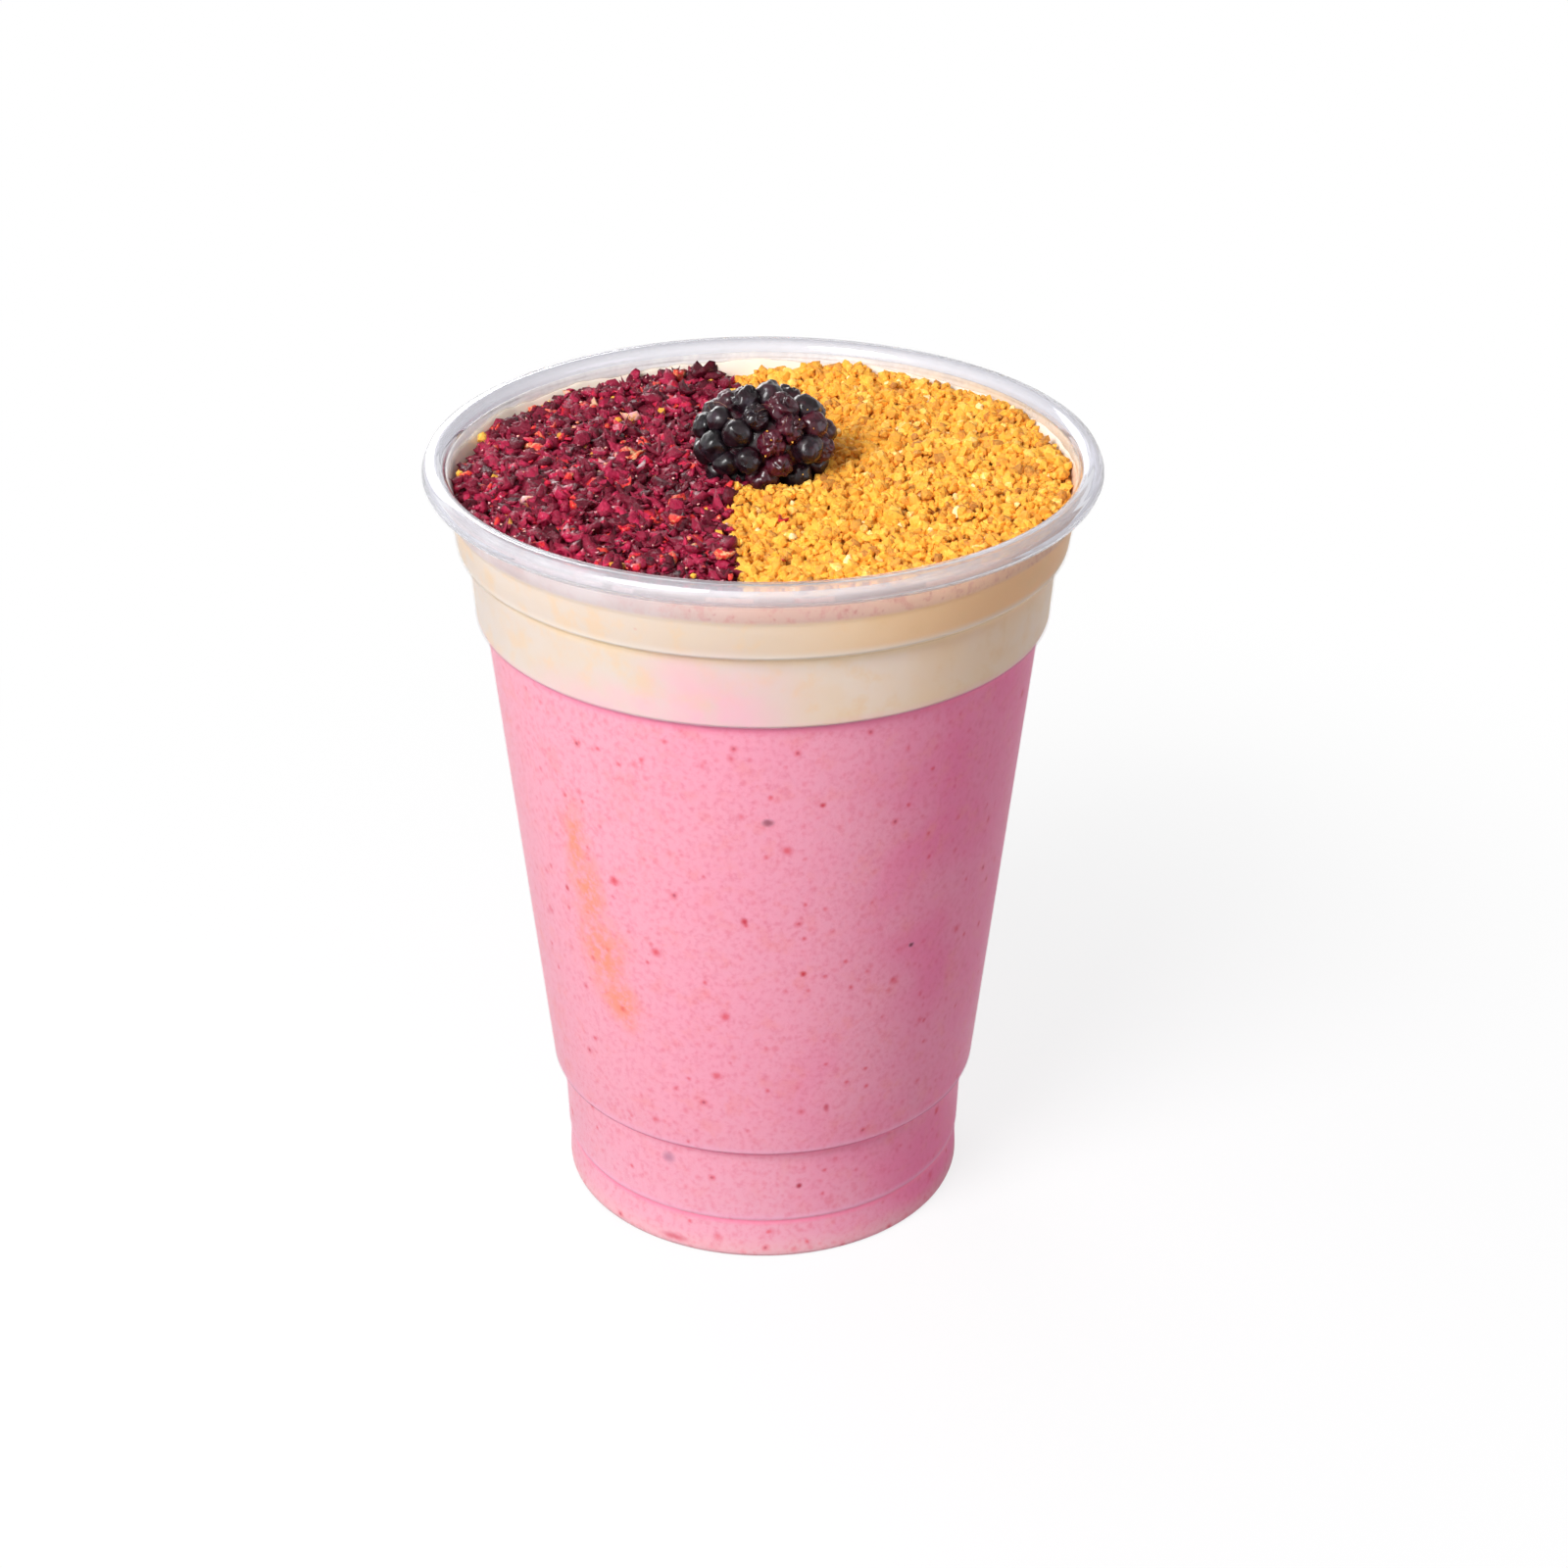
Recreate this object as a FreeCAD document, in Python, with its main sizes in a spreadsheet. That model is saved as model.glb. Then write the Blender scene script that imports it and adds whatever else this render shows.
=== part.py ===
import FreeCAD, Part

import math
import os
from types import SimpleNamespace

import Sketcher
from FreeCAD import Vector

# A frozen fruit drink in a clear plastic cup, in millimetres. The cup stands on its foot at
# z = 0, about the Z axis. It holds a fruit smoothie, a layer of cream on it, two heaps of
# topping that share the cream's surface, and one berry in the middle of them.

SIZES = {
    # The cup, outside.
    "cup_height": 121.0,        # foot to the top of the rolled lip
    "rim_radius": 49.0,         # outside of the rolled lip
    "base_radius": 31.4,        # outside of the foot, where it meets the table
    "wall": 0.45,               # thickness of the plastic
    "lip_roll": 1.75,           # radius of the rolled lip's section
    # Ledges near the rim, as drops below the top of the lip.
    "neck_drop": 6.8,
    "collar_drop": 12.6,
    "shoulder_drop": 23.9,
    # How far each ledge steps in, and how much each band above it narrows downwards.
    "neck_step": 0.25,
    "neck_taper": 0.2,
    "collar_step": 1.5,
    "collar_taper": 0.8,
    "shoulder_step": 1.35,
    "shoulder_taper": 0.8,
    "ledge_rise": 0.6,          # height of each slanted step
    "ledge_round": 0.3,
    # Ledges near the foot, as heights above the table.
    "high_ring_height": 20.7,
    "high_ring_out": 1.95,      # how far it stands out past the base radius
    "high_ring_step": 1.5,
    "low_ring_height": 7.3,
    "low_ring_step": 0.3,
    "foot_round": 1.2,
    # The hollow under the cup.
    "hollow_radius": 27.5,
    "hollow_depth": 2.4,
    "hollow_slope": 1.6,        # how much wider the hollow is at the table
    "foot_width": 2.0,          # flat of the foot inside its outer edge
    # What fills the cup, as drops below the top of the lip.
    "smoothie_drop": 24.0,
    "cream_drop": 7.0,
    "topping_drop": 3.5,
    # The topping's uneven surface.
    "lump_height": 0.8,
    "lump_spacing": 14.0,
    "heap_divide": -1.6,        # mean x of the line where the two heaps meet
    "divide_sway": 1.4,
    "divide_wave": 64.0,        # length of one sway
    # The berry and its drupelets.
    "berry_length": 18.0,       # core, along x
    "berry_width": 14.2,        # core, along y
    "berry_thickness": 13.0,    # core, along z
    "berry_lift": 0.9,          # its centre above the top of the lip
    "drupelet_radius": 1.95,
    "berry_clearance": 0.2,
}

TOPPING_WAVES = (              # direction in degrees, waves to a spacing, phase, share
    (20, 1.0, 40, 0.40),
    (100, 0.8, 200, 0.35),
    (155, 0.6, 90, 0.40),
    (60, 0.3, 10, 0.45),
    (130, 1.6, 300, 0.15),
)
DRUPELET_ROWS = (              # latitude in degrees, drupelets round, first longitude
    (-62, 4, 20),
    (-38, 9, 0),
    (-14, 12, 14),
    (10, 13, 0),
    (34, 10, 12),
    (58, 6, 30),
    (86, 1, 0),
)
GRID_STEPS = 24                # spans across the topping's surface
DIVIDE_STEPS = 16              # spans along the line between the heaps


class Size:
    """A length that keeps both its value and the sheet expression that gives it."""

    def __init__(self, value, text):
        self.value = value
        self.text = text

    def combined(self, other, sign, value):
        other_text = other.text if isinstance(other, Size) else str(other)
        return Size(value, f"({self.text} {sign} {other_text})")

    def __add__(self, other):
        return self.combined(other, "+", self.value + number(other))

    def __sub__(self, other):
        return self.combined(other, "-", self.value - number(other))

    def __mul__(self, other):
        return self.combined(other, "*", self.value * number(other))


def number(size):
    """The plain value of a Size or of a number."""
    return size.value if isinstance(size, Size) else size


NOTHING = Size(0.0, "0")


def size_sheet(doc):
    """Write the driving sizes into a spreadsheet and return each one as a Size."""
    sheet = doc.addObject("Spreadsheet::Sheet", "Sizes")
    sizes = {}
    for row, (alias, value) in enumerate(SIZES.items(), start=1):
        sheet.set(f"A{row}", alias)
        sheet.set(f"B{row}", str(value))
        sheet.setAlias(f"B{row}", alias)
        sizes[alias] = Size(value, f"Sizes.{alias}")
    doc.recompute()
    return SimpleNamespace(**sizes)


def bind(item, **properties):
    """Bind properties of an object to sheet expressions."""
    for name, size in properties.items():
        if isinstance(size, Size):
            item.setExpression(name, size.text)
        else:
            setattr(item, name, size)


def lift(item, height):
    """Set an object's height above the table to a Size."""
    item.setExpression("Placement.Base.z", height.text)


def add(doc, kind, name, **properties):
    """Add an object of the given kind with its properties bound."""
    item = doc.addObject(kind, name)
    item.Label = name
    bind(item, **properties)
    return item


def origin_plane(body, role):
    """The body's own origin plane with the given role."""
    return next(plane for plane in body.Origin.OriginFeatures if plane.Role == role)


def new_sketch(body, name):
    """An empty sketch on the body's own XZ plane."""
    sketch = body.newObject("Sketcher::SketchObject", name)
    sketch.AttachmentSupport = (origin_plane(body, "XZ_Plane"), [""])
    sketch.MapMode = "FlatFace"
    return sketch


def bind_constraint(sketch, kind, places, size):
    """Add a dimension to a sketch and bind it to the sheet."""
    row = sketch.addConstraint(Sketcher.Constraint(kind, *places, size.value))
    name = f"{kind}{row}"
    sketch.renameConstraint(row, name)
    sketch.setExpression(f"Constraints.{name}", size.text)


def profile_sketch(body, name, corners):
    """Sketch a closed half-section of straight lines, with every corner bound to the sheet.

    Each corner is (radius, height); a plain 0 puts the corner on that axis.
    """
    sketch = new_sketch(body, name)
    points = [Vector(number(radius), number(height), 0) for radius, height in corners]
    for start, end in zip(points, points[1:] + points[:1]):
        sketch.addGeometry(Part.LineSegment(start, end), False)
    for line in range(len(points)):
        following = (line + 1) % len(points)
        sketch.addConstraint(Sketcher.Constraint("Coincident", line, 2, following, 1))
    for line, corner in enumerate(corners):
        for direction, axis, size in zip(("DistanceX", "DistanceY"), (-2, -1), corner):
            if isinstance(size, Size):
                bind_constraint(sketch, direction, (-1, 1, line, 1), size)
            else:
                sketch.addConstraint(Sketcher.Constraint("PointOnObject", line, 1, axis))
    return sketch


def revolve(body, name, sketch):
    """Turn a sketch once round the Z axis."""
    turned = body.newObject("PartDesign::Revolution", name)
    turned.Profile = sketch
    turned.ReferenceAxis = (sketch, ["V_Axis"])
    turned.Angle = 360.0
    sketch.Visibility = False
    return turned


def ring_edges(shape, rings):
    """Names of the shape's circular edges that have one of the given radii and heights."""
    names = []
    for index, edge in enumerate(shape.Edges, start=1):
        if not isinstance(edge.Curve, Part.Circle):
            continue
        for radius, height in rings:
            near_radius = abs(edge.Curve.Radius - number(radius)) < 1e-4
            near_height = abs(edge.Curve.Center.z - number(height)) < 1e-4
            if near_radius and near_height:
                names.append(f"Edge{index}")
    return names


def turned_body(doc, name, corners, rounds):
    """A body revolved from a half-section, with rounded rings: (fillet radius, rings)."""
    body = doc.addObject("PartDesign::Body", name)
    body.Label = name
    tip = revolve(body, f"{name}_turned", profile_sketch(body, f"{name}_section", corners))
    doc.recompute()
    for count, (radius, rings) in enumerate(rounds, start=1):
        fillet = body.newObject("PartDesign::Fillet", f"{name}_round{count}")
        fillet.Base = (tip, ring_edges(tip.Shape, rings))
        bind(fillet, Radius=radius)
        doc.recompute()
        tip = fillet
    return body


def wall_corners(s):
    """Outer corners of the cup's wall from the foot up to the lip, as (radius, height)."""
    neck = s.rim_radius - s.lip_roll * 2 + s.wall
    collar = neck - s.neck_taper - s.neck_step
    shoulder = collar - s.collar_taper - s.collar_step
    body_top = shoulder - s.shoulder_taper - s.shoulder_step
    high_ring = s.base_radius + s.high_ring_out
    neck_height = s.cup_height - s.neck_drop
    collar_height = s.cup_height - s.collar_drop
    shoulder_height = s.cup_height - s.shoulder_drop
    return {
        "foot": (s.base_radius, 0),
        "low_ring_under": (s.base_radius - s.low_ring_step, s.low_ring_height - s.ledge_rise),
        "low_ring": (s.base_radius, s.low_ring_height),
        "high_ring_under": (high_ring - s.high_ring_step, s.high_ring_height - s.ledge_rise),
        "high_ring": (high_ring, s.high_ring_height),
        "body_top": (body_top, shoulder_height - s.ledge_rise),
        "shoulder": (body_top + s.shoulder_step, shoulder_height),
        "collar_under": (shoulder, collar_height - s.ledge_rise),
        "collar": (shoulder + s.collar_step, collar_height),
        "neck_under": (collar, neck_height - s.ledge_rise),
        "neck": (collar + s.neck_step, neck_height),
        "lip_start": (neck, s.cup_height - s.lip_roll),
    }


LEDGES = ("low_ring_under", "low_ring", "high_ring_under", "high_ring", "body_top",
          "shoulder", "collar_under", "collar")


def outer_form(doc, s):
    """The cup as a full solid, with the hollow under its foot."""
    wall = wall_corners(s)
    hollow_edge = s.base_radius - s.foot_width
    corners = [(0, s.hollow_depth), (s.hollow_radius, s.hollow_depth), (hollow_edge, 0)]
    corners += list(wall.values())
    corners += [(0, s.cup_height - s.lip_roll)]
    rounds = [
        (s.foot_round, [wall["foot"]]),
        (s.ledge_round, [wall[name] for name in LEDGES]),
    ]
    return turned_body(doc, "outer_form", corners, rounds)


def cavity_form(doc, s):
    """The space inside the wall, open through the lip: what the contents fill."""
    inner = {
        name: (radius - s.wall, height + s.wall * 0.5)
        for name, (radius, height) in wall_corners(s).items()
        if name not in ("foot", "lip_start")
    }
    floor = s.hollow_depth + s.wall
    channel_side = s.base_radius - s.foot_width
    corners = [
        (0, floor),
        (s.hollow_radius, floor),
        (channel_side, s.wall),
        (s.base_radius - s.wall, s.wall),
    ]
    corners += list(inner.values())
    mouth = s.rim_radius - s.lip_roll * 2
    corners += [(mouth, s.cup_height - s.lip_roll), (mouth, s.cup_height + s.lip_roll)]
    corners += [(0, s.cup_height + s.lip_roll)]
    rounds = [(s.ledge_round, [inner[name] for name in LEDGES])]
    return turned_body(doc, "cavity_form", corners, rounds)


def lip_section(body, s):
    """Sketch the lip's section: two arcs about one centre, three quarters of a turn long."""
    centre = (s.rim_radius - s.lip_roll, s.cup_height - s.lip_roll)
    radii = (s.lip_roll, s.lip_roll - s.wall)
    sketch = new_sketch(body, "lip_section")
    middle = Vector(centre[0].value, centre[1].value, 0)
    arcs = [
        Part.ArcOfCircle(Part.Circle(middle, Vector(0, 0, 1), radius.value), -math.pi / 2, math.pi)
        for radius in radii
    ]
    outer, inner = (sketch.addGeometry(arc, False) for arc in arcs)
    top = sketch.addGeometry(Part.LineSegment(arcs[0].EndPoint, arcs[1].EndPoint), False)
    end = sketch.addGeometry(Part.LineSegment(arcs[1].StartPoint, arcs[0].StartPoint), False)
    for joined in ((outer, 2, top, 1), (inner, 2, top, 2), (inner, 1, end, 1),
                   (outer, 1, end, 2), (outer, 3, inner, 3)):
        sketch.addConstraint(Sketcher.Constraint("Coincident", *joined))
    sketch.addConstraint(Sketcher.Constraint("Horizontal", top))
    sketch.addConstraint(Sketcher.Constraint("Vertical", end))
    bind_constraint(sketch, "DistanceX", (-1, 1, outer, 3), centre[0])
    bind_constraint(sketch, "DistanceY", (-1, 1, outer, 3), centre[1])
    bind_constraint(sketch, "DistanceX", (-1, 1, outer, 1), centre[0])
    bind_constraint(sketch, "DistanceY", (-1, 1, outer, 2), centre[1])
    bind_constraint(sketch, "Radius", (outer,), radii[0])
    bind_constraint(sketch, "Radius", (inner,), radii[1])
    return sketch


def rolled_lip(doc, s):
    """The lip, rolled over and outwards from the wall's top, open on its underside."""
    body = doc.addObject("PartDesign::Body", "rolled_lip")
    body.Label = "rolled_lip"
    revolve(body, "lip_turned", lip_section(body, s))
    return body


def cup(doc, s, outside, cavity):
    """The whole cup: its wall, and the lip rolled out from the wall's top."""
    wall = add(doc, "Part::Cut", "cup_wall", Base=outside, Tool=cavity)
    return add(doc, "Part::MultiFuse", "cup", Shapes=[wall, rolled_lip(doc, s)])


def layer(doc, s, name, cavity, bottom, top):
    """What fills the cavity between two heights."""
    slab = add(doc, "Part::Cylinder", f"{name}_slab", Radius=s.rim_radius, Height=top - bottom)
    lift(slab, bottom)
    return add(doc, "Part::Common", name, Base=cavity, Tool=slab)


def lumpy_height(s, x, y):
    """Height of the topping at a point: a mean level with waves across it in all directions."""
    lumps = 0.0
    for direction, waves, phase, share in TOPPING_WAVES:
        heading = math.radians(direction)
        distance = x * math.cos(heading) + y * math.sin(heading)
        turns = waves * distance / s.lump_spacing.value
        lumps += share * math.sin(2 * math.pi * turns + math.radians(phase))
    return s.cup_height.value - s.topping_drop.value + s.lump_height.value * lumps


def topping_mass(doc, s):
    """A block with the topping's lumpy top and a flat bottom on the cream."""
    reach = s.rim_radius.value
    steps = [reach * (2 * step / GRID_STEPS - 1) for step in range(GRID_STEPS + 1)]
    grid = [[Vector(x, y, lumpy_height(s, x, y)) for y in steps] for x in steps]
    surface = Part.BSplineSurface()
    surface.interpolate(grid)
    bottom = s.cup_height.value - s.cream_drop.value
    column = surface.toShape().extrude(Vector(0, 0, -2 * s.cream_drop.value))
    block = Part.makeBox(2 * reach, 2 * reach, 2 * s.cream_drop.value,
                         Vector(-reach, -reach, bottom))
    mass = add(doc, "Part::Feature", "topping_mass")
    mass.Shape = column.common(block)
    return mass


def left_side(doc, s):
    """The space on the flakes' side of the swaying line where the heaps meet."""
    reach = 2 * s.rim_radius.value
    middle = s.heap_divide.value
    sway = s.divide_sway.value
    line = []
    for step in range(DIVIDE_STEPS + 1):
        y = reach * (2 * step / DIVIDE_STEPS - 1)
        x = middle + sway * math.sin(2 * math.pi * y / s.divide_wave.value)
        line.append(Vector(x, y, 0))
    curve = Part.BSplineCurve()
    curve.interpolate(line)
    far = [Vector(-reach, reach, 0), Vector(-reach, -reach, 0)]
    outline = [curve.toShape()]
    for start, end in zip([line[-1]] + far, far + [line[0]]):
        outline.append(Part.LineSegment(start, end).toShape())
    side = add(doc, "Part::Feature", "left_side")
    side.Shape = Part.Face(Part.Wire(outline)).extrude(Vector(0, 0, 2 * s.cup_height.value))
    return side


def ellipsoid(doc, s, name, grow):
    """The berry's core, or the same form grown all round by a Size."""
    form = add(
        doc, "Part::Ellipsoid", name,
        Radius1=s.berry_thickness * 0.5 + grow,
        Radius2=s.berry_length * 0.5 + grow,
        Radius3=s.berry_width * 0.5 + grow,
    )
    lift(form, s.cup_height + s.berry_lift)
    return form


def berry(doc, s):
    """The berry: an egg-shaped core with rows of drupelets set half into it."""
    pieces = [ellipsoid(doc, s, "berry_core", NOTHING)]
    middle = s.cup_height + s.berry_lift
    for latitude, around, first in DRUPELET_ROWS:
        height = math.sin(math.radians(latitude))
        girth = math.cos(math.radians(latitude))
        for turn in range(around):
            angle = math.radians(first + 360 * turn / around)
            drupelet = add(doc, "Part::Sphere", f"drupelet{len(pieces)}",
                           Radius=s.drupelet_radius)
            along = s.berry_length * (0.5 * girth * math.cos(angle))
            across = s.berry_width * (0.5 * girth * math.sin(angle))
            above = middle + s.berry_thickness * (0.5 * height)
            drupelet.setExpression("Placement.Base.x", along.text)
            drupelet.setExpression("Placement.Base.y", across.text)
            lift(drupelet, above)
            # Its pole points outwards, so that no two neighbours' poles or seams meet.
            outwards = Vector(along.value, across.value, above.value - middle.value)
            drupelet.Placement.Rotation = FreeCAD.Rotation(Vector(0, 0, 1), outwards)
            pieces.append(drupelet)
    return add(doc, "Part::MultiFuse", "bramble_berry", Shapes=pieces)


def check(doc, parts):
    """Stop if any object failed or any part isn't one valid solid."""
    for item in doc.Objects:
        if "Invalid" in item.State or "Error" in item.State:
            raise RuntimeError(f"{item.Name} failed: {item.State}")
    for item in parts:
        shape = item.Shape
        if shape.isNull() or not shape.isValid() or len(shape.Solids) != 1:
            raise RuntimeError(f"{item.Label} isn't one valid solid")


def main():
    doc = FreeCAD.newDocument("frozen_fruit_drink")
    s = size_sheet(doc)
    outside = outer_form(doc, s)
    cavity = cavity_form(doc, s)
    smoothie_top = s.cup_height - s.smoothie_drop
    cream_top = s.cup_height - s.cream_drop
    seat = ellipsoid(doc, s, "berry_seat", s.drupelet_radius + s.berry_clearance)
    filling = layer(doc, s, "cream_filling", cavity, smoothie_top, cream_top)
    topping = add(doc, "Part::Common", "topping", Base=cavity, Tool=topping_mass(doc, s))
    bed = add(doc, "Part::Cut", "topping_bed", Base=topping, Tool=seat)
    side = left_side(doc, s)
    parts = [
        cup(doc, s, outside, cavity),
        layer(doc, s, "smoothie", cavity, NOTHING, smoothie_top),
        add(doc, "Part::Cut", "cream", Base=filling, Tool=seat),
        add(doc, "Part::Common", "fruit_flakes", Base=bed, Tool=side),
        add(doc, "Part::Cut", "yellow_crumbs", Base=bed, Tool=side),
        berry(doc, s),
    ]
    doc.recompute()
    check(doc, parts)
    os.makedirs("parts", exist_ok=True)
    for item in parts:
        item.Shape.exportStep(f"parts/{item.Label}.step")
        box = item.Shape.BoundBox
        print(f"{item.Label}: {item.Shape.Volume:.0f} mm3, z {box.ZMin:.2f} to {box.ZMax:.2f}")


main()
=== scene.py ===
import math

import bmesh
import bpy
import numpy as np
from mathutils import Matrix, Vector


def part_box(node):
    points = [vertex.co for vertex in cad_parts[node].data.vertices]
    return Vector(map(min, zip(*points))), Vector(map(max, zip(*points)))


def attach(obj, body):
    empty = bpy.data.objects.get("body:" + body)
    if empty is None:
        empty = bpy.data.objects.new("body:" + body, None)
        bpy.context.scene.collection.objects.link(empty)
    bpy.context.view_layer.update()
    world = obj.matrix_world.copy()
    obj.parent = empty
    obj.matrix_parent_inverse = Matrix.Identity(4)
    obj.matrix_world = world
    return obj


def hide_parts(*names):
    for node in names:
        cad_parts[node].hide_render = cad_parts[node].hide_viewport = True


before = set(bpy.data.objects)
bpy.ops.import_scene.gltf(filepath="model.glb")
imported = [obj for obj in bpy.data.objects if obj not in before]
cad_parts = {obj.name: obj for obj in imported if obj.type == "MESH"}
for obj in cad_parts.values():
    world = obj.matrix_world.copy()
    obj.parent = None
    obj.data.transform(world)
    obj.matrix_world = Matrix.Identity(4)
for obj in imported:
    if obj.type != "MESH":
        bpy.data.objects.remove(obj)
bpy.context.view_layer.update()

bl_info = {
    "name": "Frozen Fruit Drink",
    "version": (1, 0, 0),
    "blender": (4, 5, 0),
    "location": "3D View > Sidebar > Fruit Drink",
    "description": "A clear cup of pink smoothie and cream with flakes, crumbs and a bramble berry",
    "category": "Object",
}

MM = 0.001
TURN = 2.0 * math.pi
HONEYCOMB = math.sqrt(0.75)
WHITE = (1.0, 1.0, 1.0, 1.0)

# Outer wall from foot to lip, in millimetres for a cup with this rim radius and height: radius,
# height, and the length of the bend at that corner.
RIM_RADIUS, CUP_HEIGHT = 49.0, 121.0
WALL = (
    (31.4, 0.0, 1.2),
    (31.1, 6.7, 0.3),
    (31.4, 7.3, 0.3),
    (31.85, 20.1, 0.35),
    (33.35, 20.7, 0.35),
    (41.05, 96.5, 0.35),
    (42.4, 97.1, 0.35),
    (43.2, 107.8, 0.35),
    (44.7, 108.4, 0.35),
    (45.5, 113.6, 0.3),
    (45.75, 114.2, 0.3),
    (45.95, 119.25, 0.0),
)
UNDERSIDE = ((0.0, 2.4, 0.0), (27.5, 2.4, 0.6), (29.4, 0.0, 0.3))
INNER_FLOOR = ((30.95, 0.45, 0.4), (29.4, 0.45, 0.3), (27.5, 2.85, 0.6), (0.0, 2.85, 0.0))
UNDERSIDE_RADIUS = 30.0

# The smoothie's foot from the axis outwards, as radius and height, just inside the cup's floor.
SMOOTHIE_FOOT = ((0.0, 2.65), (27.4, 2.65), (29.35, 0.2), (30.6, 0.15), (31.05, 0.35), (31.2, 0.8))
SMOOTHIE_LOW, SMOOTHIE_TOP, SMOOTHIE_REACH = 1.4, 97.0, 0.15
CREAM_TOP, CREAM_BRIM, CREAM_REACH = 114.0, 117.8, 0.25
SMEAR_LOW, SMEAR_TOP, SMEAR_THICK = 117.3, 119.1, 0.42
SMOOTHIE_STEPS, CREAM_STEPS = 256, 360
LIP_INSIDE_STEPS, LIP_OUTSIDE_STEPS = 20, 46

# Heights of the wall's narrow ledges beside the smoothie, and how far a soft band of painted
# light reaches above each and a soft band of painted shade below each.
LEDGES = ((7.0, 1.2, 1.2), (20.4, 1.5, 1.6), (96.6, 1.0, 1.6))
COLLAR_TOP = 108.4
CLEAR_FROM, CLEAR_TO = 116.3, 117.3

HEAP_RADIUS = 44.8
BED_ROWS, BED_COLUMNS = 130, 90
BEAD_ROWS, BEAD_COLUMNS = 21, 30
HAIRS, HAIR_POINTS, HAIR_SIDES = 15, 10, 6
DUST = 17
FLOOR_HALF = 4.0
CAMERA_SHIFT = 0.0134

BERRY_LOW, BERRY_HIGH = (np.array(corner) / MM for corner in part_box("bramble_berry"))
BERRY_MIDDLE = (BERRY_LOW + BERRY_HIGH) / 2.0
BERRY_HALF = (BERRY_HIGH - BERRY_LOW) / 2.0


def colour(red, green, blue):
    """A colour in 0-255 steps as the scene-linear values that shaders take."""
    share = np.array([red, green, blue]) / 255.0
    linear = np.where(share < 0.04045, share / 12.92, ((share + 0.055) / 1.055) ** 2.4)
    return (*(float(v) for v in linear), 1.0)


def length(name, words, size):
    """A length setting, given in millimetres and kept in metres."""
    return bpy.props.FloatProperty(
        name=name, description=words, default=size * MM, min=0.0, unit="LENGTH", precision=5
    )


def amount(name, words, default, top):
    """A plain number setting."""
    return bpy.props.FloatProperty(
        name=name, description=words, default=default, min=0.0, max=top, precision=3
    )


def paint(name, words, *steps):
    """A colour setting, given in 0-255 steps."""
    return bpy.props.FloatVectorProperty(
        name=name,
        description=words,
        default=colour(*steps),
        size=4,
        subtype="COLOR",
        min=0.0,
        max=1.0,
    )


def count(name, words, default):
    """A whole number setting."""
    return bpy.props.IntProperty(name=name, description=words, default=default, min=1)


# ---------------------------------------------------------------- settings


class FRUITDRINK_PG_cup(bpy.types.PropertyGroup):
    rim_radius: length("Rim radius", "Outside radius of the rolled lip", RIM_RADIUS)
    height: length("Height", "Height of the cup to the top of its lip", CUP_HEIGHT)
    wall: length("Wall", "Thickness of the clear plastic", 0.45)
    lip_roll: length("Lip roll", "Radius of the rolled lip's curl", 1.75)
    steps: count("Steps", "Faces round the cup", 640)
    tint: paint("Plastic", "Colour of the clear plastic", 250, 250, 252)
    # Painted shade: the plastic greys where it is seen along its surface.
    edge_painted_shade: paint("Plastic edge", "Colour of the plastic seen at a low angle", 182, 182, 197)


class FRUITDRINK_PG_contents(bpy.types.PropertyGroup):
    pink: paint("Pink", "Main colour of the smoothie", 245, 163, 186)
    # Painted light and painted shade: paler smoothie at the lamp-facing left, deeper at the shaded right.
    pink_painted_light: paint("Light pink", "Paler smoothie at the left", 243, 167, 186)
    pink_painted_shade: paint("Right pink", "Deeper smoothie at the right", 243, 121, 166)
    pulp: paint("Pulp", "Colour of the fine fruit pulp", 224, 98, 122)
    speck: paint("Specks", "Colour of the fruit specks", 222, 42, 62)
    streak: paint("Streak", "Colour of the orange fruit streak", 248, 148, 118)
    cream: paint("Cream", "Colour of the cream", 243, 225, 210)
    cream_warm: paint("Warm cream", "Colour of the cream in its warmer parts", 243, 209, 168)


class FRUITDRINK_PG_topping(bpy.types.PropertyGroup):
    crumb_size: length("Crumb size", "Mean width of a crumb", 1.18)
    crumb_gap: length("Crumb gap", "Distance between neighbouring crumbs", 1.03)
    flake_size: length("Flake size", "Mean length of a fruit flake", 2.05)
    flakes: count("Flakes", "Number of larger fruit flakes", 5300)
    golden: paint("Golden", "Main colour of the crumbs", 250, 184, 66)
    toasted: paint("Toasted", "Colour of the darkest crumbs", 178, 116, 50)
    pale: paint("Pale", "Colour of the palest crumbs", 255, 232, 176)
    plum: paint("Plum", "Main colour of the flakes", 124, 25, 49)
    plum_dark: paint("Dark plum", "Colour of the darkest flakes", 78, 8, 26)
    red: paint("Red", "Colour of the red flakes", 216, 34, 54)


class FRUITDRINK_PG_berry(bpy.types.PropertyGroup):
    drupelets: count("Drupelets", "Number of round beads on the berry", 44)
    drupelet_radius: length("Drupelet radius", "Mean radius of one bead", 2.2)
    ink: paint("Ink", "Colour of the ripest beads", 13, 9, 13)
    wine: paint("Wine", "Colour of the redder beads", 84, 18, 36)
    hair: paint("Hair", "Colour of the dry hairs", 176, 140, 112)


class FRUITDRINK_PG_stage(bpy.types.PropertyGroup):
    distance: length("Distance", "Camera distance from the point it looks at", 450.0)
    aim_height: length("Aim height", "Height of the point the camera looks at", 66.1)
    elevation: bpy.props.FloatProperty(
        name="Elevation",
        description="Camera angle above the horizon",
        default=math.radians(28.17),
        subtype="ANGLE",
    )
    lens: bpy.props.FloatProperty(
        name="Lens", description="Focal length in millimetres", default=67.64, min=1.0
    )
    key: amount("Key", "Power of the large lamp at the front left, in watts", 7.7, 1000.0)
    fill: amount("Fill", "Power of the cool lamp at the right, in watts", 0.66, 1000.0)
    back: amount("Back", "Power of the lamp behind, in watts", 2.1, 1000.0)
    sky: amount("Sky", "Strength of the light from all round", 0.3, 10.0)


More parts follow.
